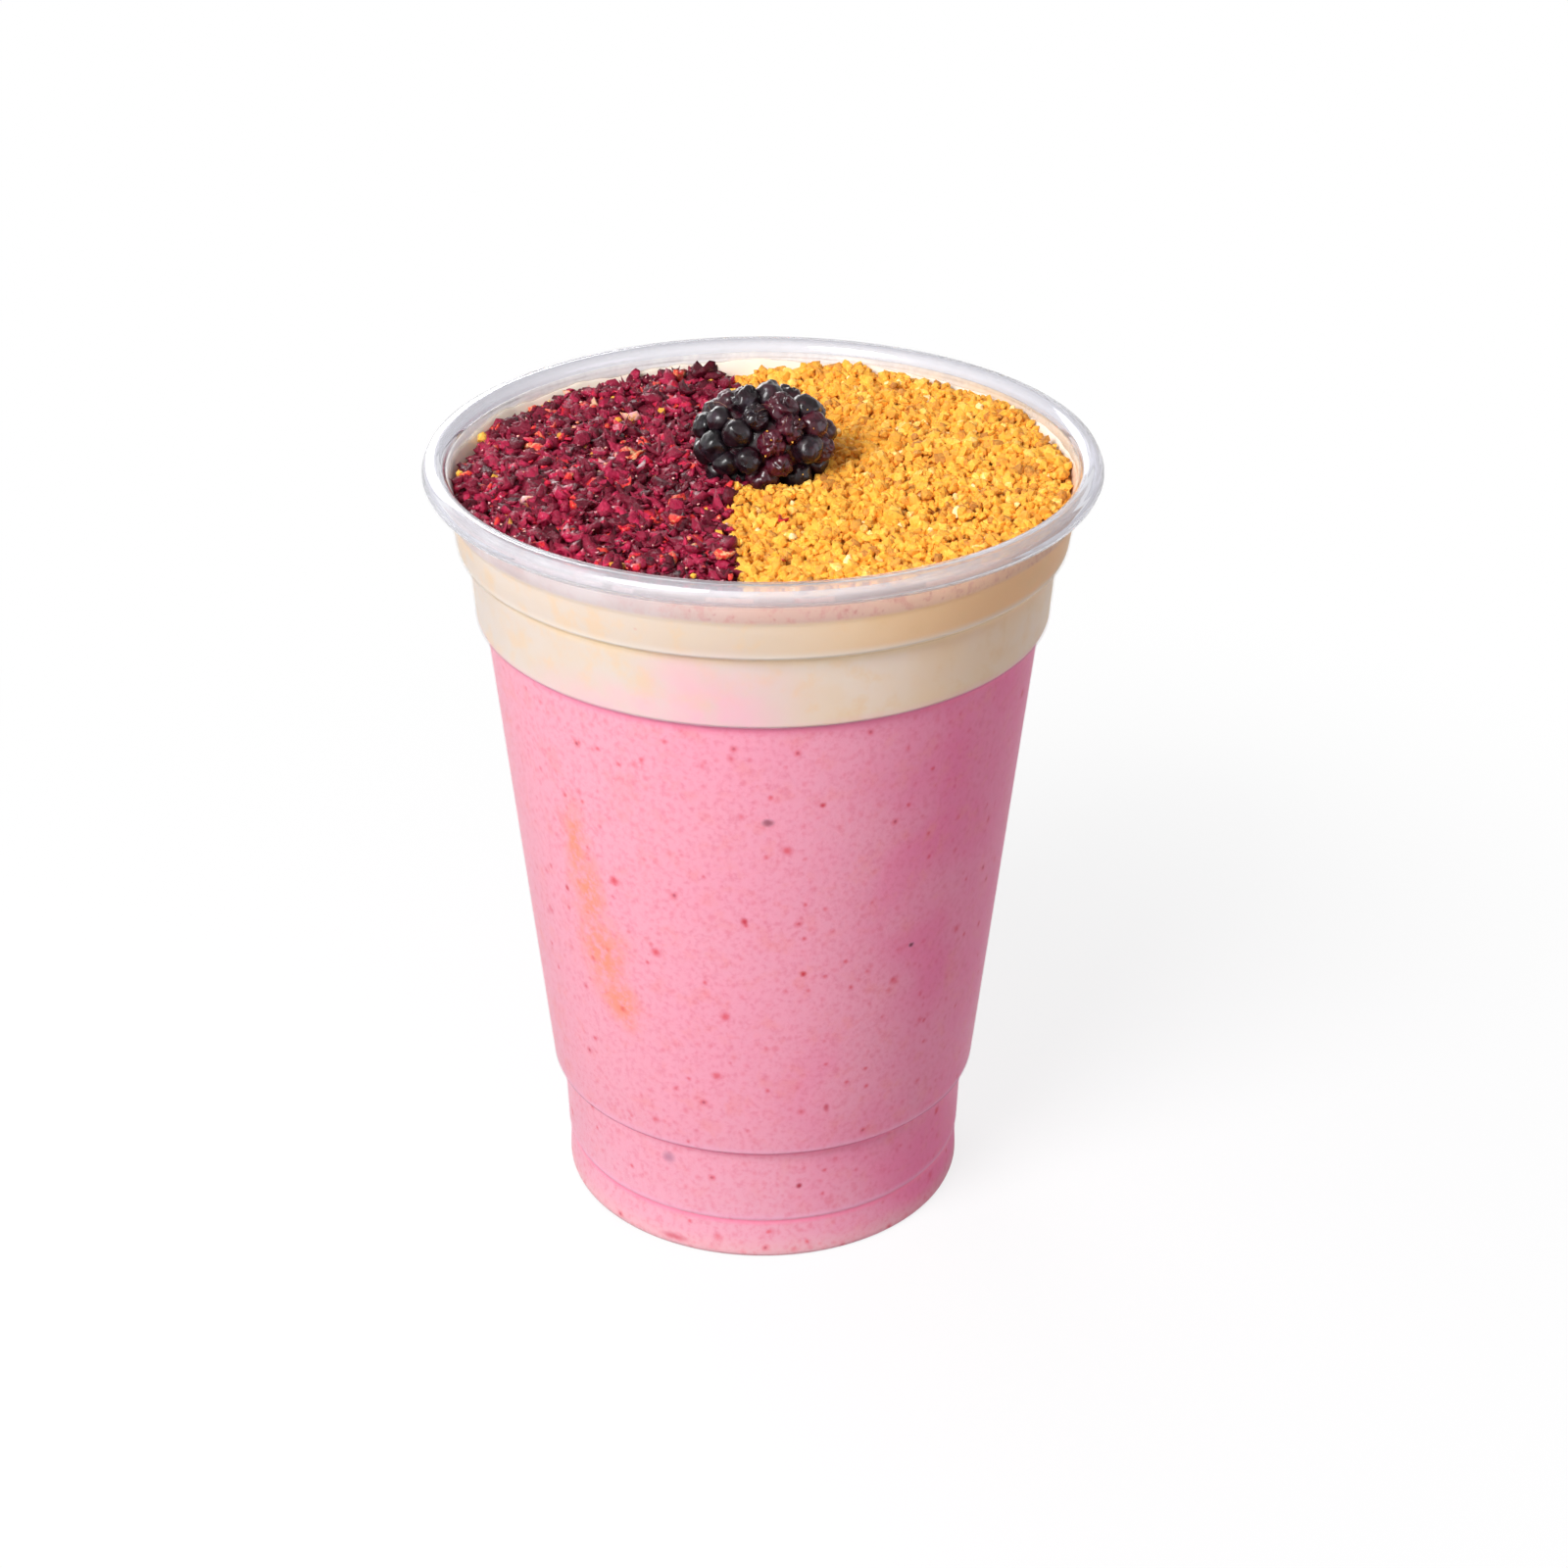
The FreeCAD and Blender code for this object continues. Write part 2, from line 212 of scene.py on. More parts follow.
class FRUITDRINK_PG_settings(bpy.types.PropertyGroup):
    cup: bpy.props.PointerProperty(type=FRUITDRINK_PG_cup)
    contents: bpy.props.PointerProperty(type=FRUITDRINK_PG_contents)
    topping: bpy.props.PointerProperty(type=FRUITDRINK_PG_topping)
    berry: bpy.props.PointerProperty(type=FRUITDRINK_PG_berry)
    stage: bpy.props.PointerProperty(type=FRUITDRINK_PG_stage)


# ---------------------------------------------------------------- shapes


def waves(points, size, seed, number=30):
    """Smooth random height: many sine waves of one length run in random directions, and their
    sum is scaled to lie mostly between -1 and 1."""
    dice = np.random.default_rng(seed)
    way = dice.normal(size=(number, points.shape[-1]))
    way *= TURN / size / np.linalg.norm(way, axis=1, keepdims=True)
    start = dice.uniform(0.0, TURN, number)
    return np.sin(points @ way.T + start).sum(axis=-1) * 0.6 * math.sqrt(2.0 / number)


def unit(ways):
    """Directions made one long: each is divided by its own length."""
    return ways / np.linalg.norm(ways, axis=1, keepdims=True)


def rounded(corners, bends=3):
    """A path through corners with each corner eased: a bend leaves one side at the bend length
    before the corner and meets the next side as far after it, as a quadratic curve."""
    spots = np.array([c[:2] for c in corners])
    reach = np.array([c[2] for c in corners])
    path = [spots[:1]]
    share = np.linspace(0.0, 1.0, bends)[:, None]
    for i in range(1, len(spots) - 1):
        if reach[i] <= 0.0:
            path.append(spots[i : i + 1])
            continue
        back = spots[i - 1] - spots[i]
        ahead = spots[i + 1] - spots[i]
        before = spots[i] + back * min(0.5, reach[i] / np.linalg.norm(back))
        after = spots[i] + ahead * min(0.5, reach[i] / np.linalg.norm(ahead))
        bend = (1 - share) ** 2 * before + 2 * share * (1 - share) * spots[i] + share**2 * after
        path.append(bend)
    path.append(spots[-1:])
    return np.vstack(path)


def circle(middle, far, angle):
    """Points round a middle, each as far out as given: the cosine and sine of its angle, in
    degrees from the outward direction, times that distance."""
    turn = np.radians(angle)
    return np.stack([middle[0] + far * np.cos(turn), middle[1] + far * np.sin(turn)], axis=1)


def ridged(middle, radius, steps):
    """The lip's outer curl: a circle from straight down, round the outside and over the top,
    with two fine raised lines where its radius swells by a narrow bell curve."""
    angle = np.linspace(-90.0, 180.0, steps)
    swell = np.exp(-(((angle - 48.0) / 7.0) ** 2)) + np.exp(-(((angle - 118.0) / 7.0) ** 2))
    far = radius - 0.05 + 0.05 * swell
    far = np.where((np.abs(angle - 90.0) < 8.0) | (np.abs(angle) < 8.0), radius, far)
    return circle(middle, far, angle)


def revolve(section, steps):
    """Turns a section of radius and height round the axis: x and y are the radius times the
    cosine and sine of the angle, and z is the height."""
    angle = np.linspace(0.0, TURN, steps, endpoint=False)
    ring = np.stack([np.cos(angle), np.sin(angle)], axis=1)
    flat = section[:, 0, None, None] * ring[None]
    high = np.broadcast_to(section[:, 1, None, None], (len(section), steps, 1))
    return np.concatenate([flat, high], axis=2)


def grid_faces(rows, columns):
    """Four-sided faces between neighbouring rows and columns, and from the last column back to
    the first."""
    row = np.arange(rows - 1)[:, None] * columns
    column = np.arange(columns)[None, :]
    after = (column + 1) % columns
    quads = [row + column, row + after, row + columns + after, row + columns + column]
    return np.stack(quads, axis=-1).reshape(-1, 4)


def bead(rows, columns):
    """A unit ball from pole to pole: the sine of the polar angle times the cosine and sine of
    the angle round it, and the cosine of the polar angle."""
    polar = np.linspace(0.0, math.pi, rows)[:, None]
    around = np.linspace(0.0, TURN, columns, endpoint=False)[None, :]
    flat = [np.sin(polar) * np.cos(around), np.sin(polar) * np.sin(around)]
    return np.stack([*flat, np.cos(polar) + 0.0 * around], axis=-1).reshape(-1, 3)


def pebble():
    """An octahedron with each face cut in four and each point pushed out to the unit ball."""
    axes = np.vstack([np.eye(3), -np.eye(3)])
    sides = np.array(
        [(0, 1, 2), (1, 3, 2), (3, 4, 2), (4, 0, 2), (1, 0, 5), (3, 1, 5), (4, 3, 5), (0, 4, 5)]
    )
    corner = axes[sides]
    middle = corner + np.roll(corner, -1, axis=1)
    middle /= np.linalg.norm(middle, axis=2, keepdims=True)
    a, b, c = corner[:, 0], corner[:, 1], corner[:, 2]
    ab, bc, ca = middle[:, 0], middle[:, 1], middle[:, 2]
    small = [(a, ab, ca), (ab, b, bc), (ca, bc, c), (ab, bc, ca)]
    corners = np.concatenate([np.stack(three, axis=1) for three in small])
    points, index = np.unique(corners.reshape(-1, 3).round(6), axis=0, return_inverse=True)
    return points, index.reshape(-1, 3)


def chip():
    """A solid with twenty equal triangles, its corners on the unit ball: the corners are all
    turns of nought, one and the golden number, with either sign."""
    golden = (1.0 + math.sqrt(5.0)) / 2.0
    signs = np.array([(a, b) for a in (-1, 1) for b in (-1, 1)], dtype=float)
    face = np.column_stack([np.zeros(4), signs[:, 0], signs[:, 1] * golden])
    points = np.vstack([face, np.roll(face, 1, axis=1), np.roll(face, 2, axis=1)])
    near = np.linalg.norm(points[:, None] - points[None], axis=2) < 2.1
    first, second, third = np.meshgrid(*[np.arange(12)] * 3, indexing="ij")
    joined = near[first, second] & near[second, third] & near[first, third]
    rising = (first < second) & (second < third)
    faces = np.stack([first, second, third], axis=-1)[joined & rising]
    a, b, c = points[faces[:, 0]], points[faces[:, 1]], points[faces[:, 2]]
    inward = np.einsum("ij,ij->i", np.cross(b - a, c - a), a) < 0.0
    faces[inward] = faces[inward][:, ::-1]
    return points / np.linalg.norm(points[0]), faces


def turns(dice, number, tilt=None):
    """Turning matrices: a spin about the upright, then a tilt about a level line in a random
    direction. With no tilt given, they are turned any way at all."""
    spin = dice.uniform(0.0, TURN, number)
    lean = np.arccos(dice.uniform(-1.0, 1.0, number)) if tilt is None else tilt
    swing = dice.uniform(0.0, TURN, number)
    zero, one = np.zeros(number), np.ones(number)

    def about_z(angle):
        c, s = np.cos(angle), np.sin(angle)
        return np.stack([c, -s, zero, s, c, zero, zero, zero, one], axis=1).reshape(-1, 3, 3)

    c, s = np.cos(lean), np.sin(lean)
    about_x = np.stack([one, zero, zero, zero, c, -s, zero, s, c], axis=1).reshape(-1, 3, 3)
    return about_z(swing) @ about_x @ about_z(spin)


def placed(shapes, turn, place):
    """Each shape's points turned by its own matrix, then moved to its own place."""
    return np.einsum("nij,nkj->nki", turn, shapes) + place[:, None, :]


def copies(faces, corners, number):
    """The faces of one shape again for each of its copies, whose corners follow on."""
    step = corners * np.arange(number)
    return (faces[None] + step[:, None, None]).reshape(-1, faces.shape[1])


def make_piece(name, points, material, *nodes, faces=None, smooth=True, weld=True, **marks):
    """A mesh object from points in millimetres, with its marks as point attributes, riding on
    the frame and standing for its nodes. Points in rows and columns need no faces given.
    Welding joins poles and turns all faces outwards."""
    if faces is None:
        faces = grid_faces(points.shape[0], points.shape[1])
    mesh = bpy.data.meshes.new(name)
    mesh.from_pydata((points.reshape(-1, 3) * MM).tolist(), [], faces.tolist())
    for mark, values in marks.items():
        layer = mesh.attributes.new(mark, "FLOAT", "POINT")
        layer.data.foreach_set("value", np.asarray(values, dtype=np.float32).ravel())
    if weld:
        work = bmesh.new()
        work.from_mesh(mesh)
        bmesh.ops.remove_doubles(work, verts=work.verts, dist=0.002 * MM)
        bmesh.ops.dissolve_degenerate(work, edges=work.edges, dist=0.0005 * MM)
        bmesh.ops.recalc_face_normals(work, faces=work.faces)
        work.to_mesh(mesh)
        work.free()
    mesh.update()
    if smooth:
        mesh.shade_smooth()
    mesh.materials.append(material)
    piece = bpy.data.objects.new(name, mesh)
    bpy.context.scene.collection.objects.link(piece)
    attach(piece, "root")
    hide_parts(*nodes)


def cup_scale(cup):
    """How much wider and taller this cup is than the one the wall's corners are given for."""
    return np.array([cup.rim_radius / (RIM_RADIUS * MM), cup.height / (CUP_HEIGHT * MM)])


def wall_path(cup, inward, upward):
    """The wall's outline from foot to lip, moved inward and upward by so many millimetres."""
    return rounded(WALL) * cup_scale(cup) + np.array([-inward, upward])


def wall_between(cup, low, high, inward=CREAM_REACH):
    """The outer face of what fills the cup between two heights: it reaches just into the wall."""
    path = wall_path(cup, inward, inward / 2.0)
    ends = np.array([low, high])
    radius = np.interp(ends, path[:, 1], path[:, 0])
    inside = path[(path[:, 1] > low + 0.05) & (path[:, 1] < high - 0.05)]
    return np.vstack([[radius[0], low], inside, [radius[1], high]])


def divide(y):
    """Where the flakes end and the crumbs begin: a line across the cup that wanders as a sine."""
    return -3.4 - 1.3 * np.sin(TURN * (y + 36.0) / 60.0)


def heap_top(x, y):
    """Height of the toppings: a level with broad and narrow lumps, lower at the wall, with a dip
    where the two heaps meet at the back, and banked up in front of the berry."""
    spot = np.stack([x, y], axis=-1)
    distance = np.hypot(x, y)
    height = 117.5 + 0.38 * waves(spot, 17.0, 5) + 0.30 * waves(spot, 7.0, 6)
    height = height - 0.9 * np.clip((distance - 39.0) / 5.5, 0.0, 1.0) ** 2
    height = height + 0.9 * np.clip(x / 12.0, 0.0, 1.0) * np.clip((y + 10.0) / 30.0, 0.0, 1.0)
    height = height - 1.5 * np.exp(-(((x + 5.0) / 5.0) ** 2) - ((y - 41.0) / 6.0) ** 2)
    return height + 0.7 * np.exp(-(((x - 4.0) / 8.0) ** 2) - ((y + 9.5) / 4.0) ** 2)


def on_heap(spots, above):
    """The spots with their height: that of the heap's top there and so much above it."""
    return np.column_stack([spots, heap_top(spots[:, 0], spots[:, 1]) + above])


def off_berry(place, spare):
    """Which places lie outside the berry: their length in berry radii is more than one."""
    return np.linalg.norm((place - BERRY_MIDDLE) / (BERRY_HALF + spare), axis=1) > 1.0


def bed(side, lowered, seed):
    """A smaller core for one heap: on each line across the cup it runs from the divide to the
    wall, its top follows the heap with fine lumps, and it dips under the berry."""
    radius = HEAP_RADIUS - 0.35
    y = np.linspace(-radius, radius, BED_ROWS)[:, None]
    across = np.linspace(0.0, 1.0, BED_COLUMNS)[None, :]
    reach = np.sqrt(np.maximum(radius**2 - y**2, 0.0))
    split = np.clip(divide(y), -reach, reach)
    near, far = (-reach, split) if side < 0 else (split, reach)
    x = near + (far - near) * across
    y = y + 0.0 * across
    top = heap_top(x, y) - lowered + 0.28 * waves(np.stack([x, y], axis=-1), 2.6, seed)
    flat = ((x - BERRY_MIDDLE[0]) / BERRY_HALF[0]) ** 2
    flat = flat + ((y - BERRY_MIDDLE[1]) / BERRY_HALF[1]) ** 2
    under = BERRY_MIDDLE[2] - BERRY_HALF[2] * np.sqrt(np.maximum(1.0 - flat, 0.0)) - 0.1
    top = np.maximum(np.minimum(top, under), CREAM_TOP + 0.1)
    upper = np.stack([x, y, top], axis=-1)
    lower = np.stack([x, y, np.full_like(x, CREAM_TOP - 0.6)], axis=-1)[:, ::-1]
    return np.concatenate([upper, lower], axis=1)


def spread_points(dice, gap, wander):
    """Points over the cup's mouth in rows set like honeycomb, each moved at random."""
    reach = int(HEAP_RADIUS / gap / HONEYCOMB) + 2
    column, row = np.meshgrid(np.arange(-reach, reach + 1), np.arange(-reach, reach + 1) * 1.0)
    x = (column + 0.5 * (row % 2)) * gap
    y = row * gap * HONEYCOMB
    spots = np.stack([x.ravel(), y.ravel()], axis=1)
    spots = spots + dice.normal(scale=wander * gap, size=spots.shape)
    return spots[np.hypot(spots[:, 0], spots[:, 1]) < HEAP_RADIUS - 0.55]


def keep_side(spots, side, dice, mixed):
    """The spots that lie on one side of the divide, with a ragged line between the heaps."""
    line = divide(spots[:, 1]) + 0.7 * waves(spots, 4.0, 41)
    line = line + dice.normal(scale=mixed, size=len(spots))
    return spots[(spots[:, 0] - line) * side > 0.0]


def bead_places(number):
    """Directions spread evenly over a ball in a spiral of equal steps, with a little wander."""
    dice = np.random.default_rng(303)
    step = np.arange(number) + 0.5
    up = 1.0 - 2.0 * step / number
    swing = step * math.pi * (3.0 - math.sqrt(5.0))
    flat = np.sqrt(1.0 - up**2)
    way = np.stack([up, flat * np.cos(swing), flat * np.sin(swing)], axis=1)
    return unit(way + dice.normal(scale=0.055, size=way.shape))


# ---------------------------------------------------------------- materials


def as_light(shade):
    """A colour in 0-255 steps as shaders take it. A setting's colour, which is so already, and
    another node's output stay as they are."""
    return colour(*shade) if isinstance(shade, tuple) and len(shade) == 3 else shade


class Finish:
    """Builds the nodes of a material or a world. Values are numbers, colours or other nodes'
    outputs, and sizes are in millimetres."""

    def __init__(self, holder):
        self.holder = holder
        holder.use_nodes = True
        holder.node_tree.nodes.clear()
        self.coords = self.node("TexCoord").outputs
        self.place = self.coords["Object"]

    def node(self, kind, inputs=None, **choices):
        """One shader node, with its choices made and its inputs set or joined."""
        tree = self.holder.node_tree
        made = tree.nodes.new("ShaderNode" + kind)
        for key, value in choices.items():
            setattr(made, key, value)
        for key, value in (inputs or {}).items():
            if isinstance(value, bpy.types.NodeSocket):
                tree.links.new(value, made.inputs[key])
            else:
                made.inputs[key].default_value = value
        return made

    def axes(self, place=None):
        """The three numbers of a place."""
        return self.node("SeparateXYZ", {0: self.place if place is None else place}).outputs

    def work(self, kind, first, second):
        """One sum on two numbers: ADD, MULTIPLY, MAXIMUM and the like."""
        return self.node("Math", {0: first, 1: second}, operation=kind).outputs[0]

    def times(self, first, second):
        """Two numbers multiplied."""
        return self.work("MULTIPLY", first, second)

    def vector(self, kind, first, second, socket=1):
        """One sum on two places, such as ADD or SUBTRACT."""
        return self.node("VectorMath", {0: first, socket: second}, operation=kind).outputs[0]

    def far(self, place):
        """How far a place is from the origin."""
        return self.node("VectorMath", {0: place}, operation="LENGTH").outputs["Value"]

    def remap(self, value, low, high, to_low=0.0, to_high=1.0):
        """Stretches one span of a value smoothly over another, and stops at its ends."""
        inputs = {"Value": value, "From Min": low, "From Max": high}
        inputs.update({"To Min": to_low, "To Max": to_high})
        return self.node("MapRange", inputs, interpolation_type="SMOOTHSTEP").outputs["Result"]

    def span(self, value, low, high, to_low=0.0, to_high=1.0):
        """The same for a place along an axis, with its span in millimetres."""
        return self.remap(value, low * MM, high * MM, to_low, to_high)

    def noise(self, size, detail=2.0, rough=0.5, place=None, out="Fac"):
        """Soft random blotches of about the given size, from 0 to 1."""
        where = self.place if place is None else place
        inputs = {"Vector": where, "Scale": 1.0 / (size * MM)}
        inputs.update({"Detail": detail, "Roughness": rough})
        return self.node("TexNoise", inputs).outputs[out]

    def ragged(self, size, strength):
        """The coordinates pushed about by noise, so that a pattern's edges wander."""
        centred = self.vector("SUBTRACT", self.noise(size, out="Color"), (0.5, 0.5, 0.5))
        return self.vector("ADD", self.place, self.vector("SCALE", centred, strength * MM, "Scale"))

    def specks(self, place, gap, radius, keep):
        """Round specks in random cells: strong near a cell's point, for a share of the cells."""
        cells = self.node("TexVoronoi", {"Vector": place, "Scale": 1.0 / (gap * MM)}).outputs
        near = self.remap(cells["Distance"], 1.25 * radius / gap, 0.0)
        part = self.node("SeparateColor", {"Color": cells["Color"]}).outputs[0]
        return self.times(near, self.work("LESS_THAN", part, keep))

    def mark(self, place, cup, angle, height, width, tall, edge):
        """A soft spot on the wall at an angle from the front and a height: it is strong inside
        the width and fades at its edge, and is stretched upright to the tall size."""
        path = wall_path(cup, CREAM_REACH, 0.12)
        radius = float(np.interp(height, path[:, 1], path[:, 0]))
        turn = math.radians(angle)
        spot = (radius * math.sin(turn) * MM, -radius * math.cos(turn) * MM, height * MM)
        away = self.vector("SUBTRACT", place, spot)
        flat = self.vector("MULTIPLY", away, (1.0, 1.0, width / tall))
        return self.remap(self.far(flat), width * MM, edge * width * MM)

    def beside(self, up, edge, above, reach):
        """A soft band on one side of a ledge's height: full at the ledge, fading over the reach. It
        places the painted light above a ledge and the painted shade below one.
        """
        side = 1.0 if above else -1.0
        near = self.span(up, edge, edge + side * reach, 1.0, 0.0)
        return self.times(near, self.span(up, edge - side * 0.3, edge + side * 0.05))

    def blend(self, share, first, second):
        """Goes from the first colour to the second as the share goes from 0 to 1."""
        inputs = {0: share, 6: as_light(first), 7: as_light(second)}
        return self.node("Mix", inputs, data_type="RGBA", clamp_factor=True).outputs[2]

    def lay(self, under, share, over, strength=1.0):
        """Lays a colour over another where the share is high, at most as strongly as given."""
        if strength < 1.0:
            share = self.times(share, strength)
        return self.blend(share, under, over)

    def ramp(self, value, *stops):
        """A colour scale: each stop is a place from 0 to 1 and the colour there."""
        made = self.node("ValToRGB", {"Fac": value})
        scale = made.color_ramp.elements
        for spot, shade in stops[1:-1]:
            scale.new(spot).color = as_light(shade)
        for end in (0, -1):
            scale[end].position = stops[end][0]
            scale[end].color = as_light(stops[end][1])
        return made.outputs["Color"]

    def tone(self, texture, spread):
        """Each point's own tone, pushed up or down by a texture."""
        own = self.node("Attribute", attribute_name="tone").outputs["Fac"]
        return self.work("ADD", own, self.remap(texture, 0.3, 0.7, -spread, spread))

    def bump(self, height, strength, depth):
        """Small bumps where a texture is high."""
        inputs = {"Height": height, "Strength": strength, "Distance": depth * MM}
        return self.node("Bump", inputs).outputs[0]

    def mix(self, share, first, second):
        """Goes from the first shader to the second as the share goes from 0 to 1."""
        return self.node("MixShader", {0: share, 1: first, 2: second}).outputs[0]

    def skin(self, shade, rough, **more):
        """The surface shader: its colour and roughness, and sockets by their names, in which an
        underscore stands for a space."""
        inputs = {"Base Color": shade, "Roughness": rough}
        inputs.update({key.replace("_", " "): value for key, value in more.items()})
        return self.node("BsdfPrincipled", inputs)

    def soft(self, made, weight, reach, depth, method="BURLEY"):
        """Lets light into the surface: how much, how far in red, green and blue, and the depth."""
        made.subsurface_method = method
        values = (weight, reach, depth * MM)
        for key, value in zip(("Weight", "Radius", "Scale"), values):
            made.inputs["Subsurface " + key].default_value = value
        return self.close(made.outputs[0])

    def close(self, shader, kind="OutputMaterial"):
        """Joins a shader to the output, and gives back the finished material or world."""
        self.node(kind, {"Surface": shader})
        return self.holder


def new_finish(name):
    """The builder of a new material."""
    return Finish(bpy.data.materials.new(name))


def clear_plastic(cup):
    """Clear glossy plastic with painted shade where it is seen along its surface, which lets the
    light of lamps and of nearby surfaces through to what it holds. It is faint below the heaps'
    level, and slightly milky in the lip."""
    plastic = new_finish("clear_plastic")
    # Painted shade: the plastic greys where it is seen along its surface, for the dark surroundings seen
    # through its edges.
    facing = plastic.node("LayerWeight", {"Blend": 0.35}).outputs["Facing"]
    height = plastic.axes()["Z"]
    upper = plastic.span(height, CLEAR_FROM, CLEAR_TO)
    painted_edge_shade = plastic.times(facing, plastic.remap(upper, 0.0, 1.0, 0.25, 1.0))
    tint = plastic.blend(painted_edge_shade, cup.tint, cup.edge_painted_shade)
    bump = plastic.bump(plastic.noise(9.0, 1.0), 0.015, 0.2)

    def glass(bend, solid):
        made = plastic.skin(tint, 0.03, IOR=bend, Transmission_Weight=1.0, Alpha=solid, Normal=bump)
        return made.outputs[0]

    clear_part = plastic.mix(upper, glass(1.10, 0.15), glass(1.28, 1.0))
    haze = plastic.span(height, CLEAR_FROM, 119.0, 0.0, 0.17)
    milky = plastic.skin((0.72, 0.72, 0.76, 1.0), 0.2, Normal=bump)
    cloudy = plastic.mix(haze, clear_part, milky.outputs[0])
    path = plastic.node("LightPath").outputs
    open_way = plastic.node("BsdfTransparent").outputs[0]
    lamps = plastic.mix(path["Is Shadow Ray"], cloudy, open_way)
    return plastic.close(plastic.mix(path["Is Diffuse Ray"], lamps, open_way))


def smoothie_finish(colours, cup):
    """Thick pink fruit smoothie: fine pulp, many small red specks, a few larger ones, an orange
    streak of fruit and a few dark bits. It is paler towards the left and the foot as painted
    light and deeper towards the right as painted shade, with a swirled edge between them, and
    has painted bands of light and shade along the ledges."""
    drink = new_finish("pink_smoothie")
    side, _, up = drink.axes()
    swirl = drink.noise(22.0, 3.0, place=drink.ragged(30.0, 14.0))
    side = drink.work("ADD", side, drink.remap(swirl, 0.3, 0.7, -9.0 * MM, 9.0 * MM))
    # Painted light towards the left and painted shade towards the right, with a swirled edge.
    shade = drink.blend(drink.span(side, -30.0, 2.0), colours.pink_painted_light, colours.pink)
    shade = drink.lay(shade, drink.span(side, 2.0, 42.0), colours.pink_painted_shade)
    blush = drink.remap(drink.noise(4.0, 4.0, 0.65), 0.50, 0.72, 0.0, 0.42)
    shade = drink.lay(shade, blush, (242, 146, 146))
    # Painted light: paler towards the foot, most on the left, for the glow of the pale floor below.
    low = drink.times(drink.span(up, 34.0, 0.0, 0.0, 0.6), drink.span(side, 30.0, 6.0))
    shade = drink.lay(shade, low, (230, 170, 188))
    shade = drink.lay(shade, drink.span(up, 4.5, 0.5, 0.0, 0.5), (232, 186, 184))
    pulp = drink.noise(0.9, 3.0, 0.6)
    shade = drink.lay(shade, drink.remap(pulp, 0.44, 0.76, 0.0, 0.34), colours.pulp)

    # Angle from the front, height, width and tall size of each part of the streak.
    parts = ((-45, 71, 4.4, 10.0), (-43, 63, 5.0, 9.0), (-40, 53, 7.0, 11.0), (-36, 45, 5.0, 7.0))
    wandering = drink.ragged(6.0, 5.0)
    first, *others = (drink.mark(wandering, cup, *part, 0.0) for part in parts)
    for part in others:
        first = drink.work("MAXIMUM", first, part)
    torn = drink.remap(drink.noise(1.7, 4.0, 0.7), 0.32, 0.58, 0.1, 0.95)
    shade = drink.lay(shade, drink.times(first, torn), colours.streak)

    # Gap between cells, radius, share of cells and strength of each kind of speck.
    kinds = (
        (0.9, 0.34, 0.60, 0.12),
        (1.7, 0.55, 0.50, 0.24),
        (2.9, 0.52, 0.40, 0.65),
        (4.6, 0.74, 0.50, 0.60),
        (8.5, 1.00, 0.50, 0.75),
    )
    uneven = drink.ragged(1.2, 0.5)
    for *kind, strength in kinds:
        shade = drink.lay(shade, drink.specks(uneven, *kind), colours.speck, strength)
    dark = drink.specks(drink.ragged(2.0, 0.4), 4.6, 0.30, 0.4)
    shade = drink.lay(shade, dark, (140, 50, 90), 0.5)

    # Painted light in a soft band just above each ledge, and painted shade just below it.
    for edge, over, under in LEDGES:
        shade = drink.lay(shade, drink.beside(up, edge + 0.3, True, over), (240, 178, 206), 0.55)
        shade = drink.lay(shade, drink.beside(up, edge - 0.1, False, under), (255, 134, 170), 0.75)

    # Angle from the front, height, width, tall size, colour and strength of each larger bit.
    bits = (
        (1, 81.0, 1.2, 0.94, (146, 72, 92), 0.85),
        (-27, 16.8, 1.5, 1.5, (186, 124, 150), 0.75),
        (36, 55.5, 0.69, 0.62, (92, 24, 40), 0.95),
        (-4, 64.0, 0.81, 1.1, (206, 34, 56), 0.9),
        (9, 54.5, 0.75, 0.75, (206, 34, 50), 0.9),
        (12, 83.5, 0.75, 0.75, (206, 34, 60), 0.9),
        (-50, 61.8, 0.75, 0.75, (210, 44, 60), 0.85),
        (10, 13.5, 0.75, 0.75, (176, 30, 56), 0.9),
        (16, 29.0, 0.75, 1, (200, 40, 70), 0.8),
        (-26, 1.8, 3.4, 0.9, (206, 84, 104), 0.75),
    )
    for *where, shown, strength in bits:
        shade = drink.lay(shade, drink.mark(uneven, cup, *where, 0.1), shown, strength)
    bump = drink.bump(pulp, 0.25, 0.2)
    made = drink.skin(shade, 0.55, Specular_IOR_Level=0.2, Normal=bump)
    return drink.soft(made, 0.25, (1.0, 0.45, 0.5), 1.6, "RANDOM_WALK")


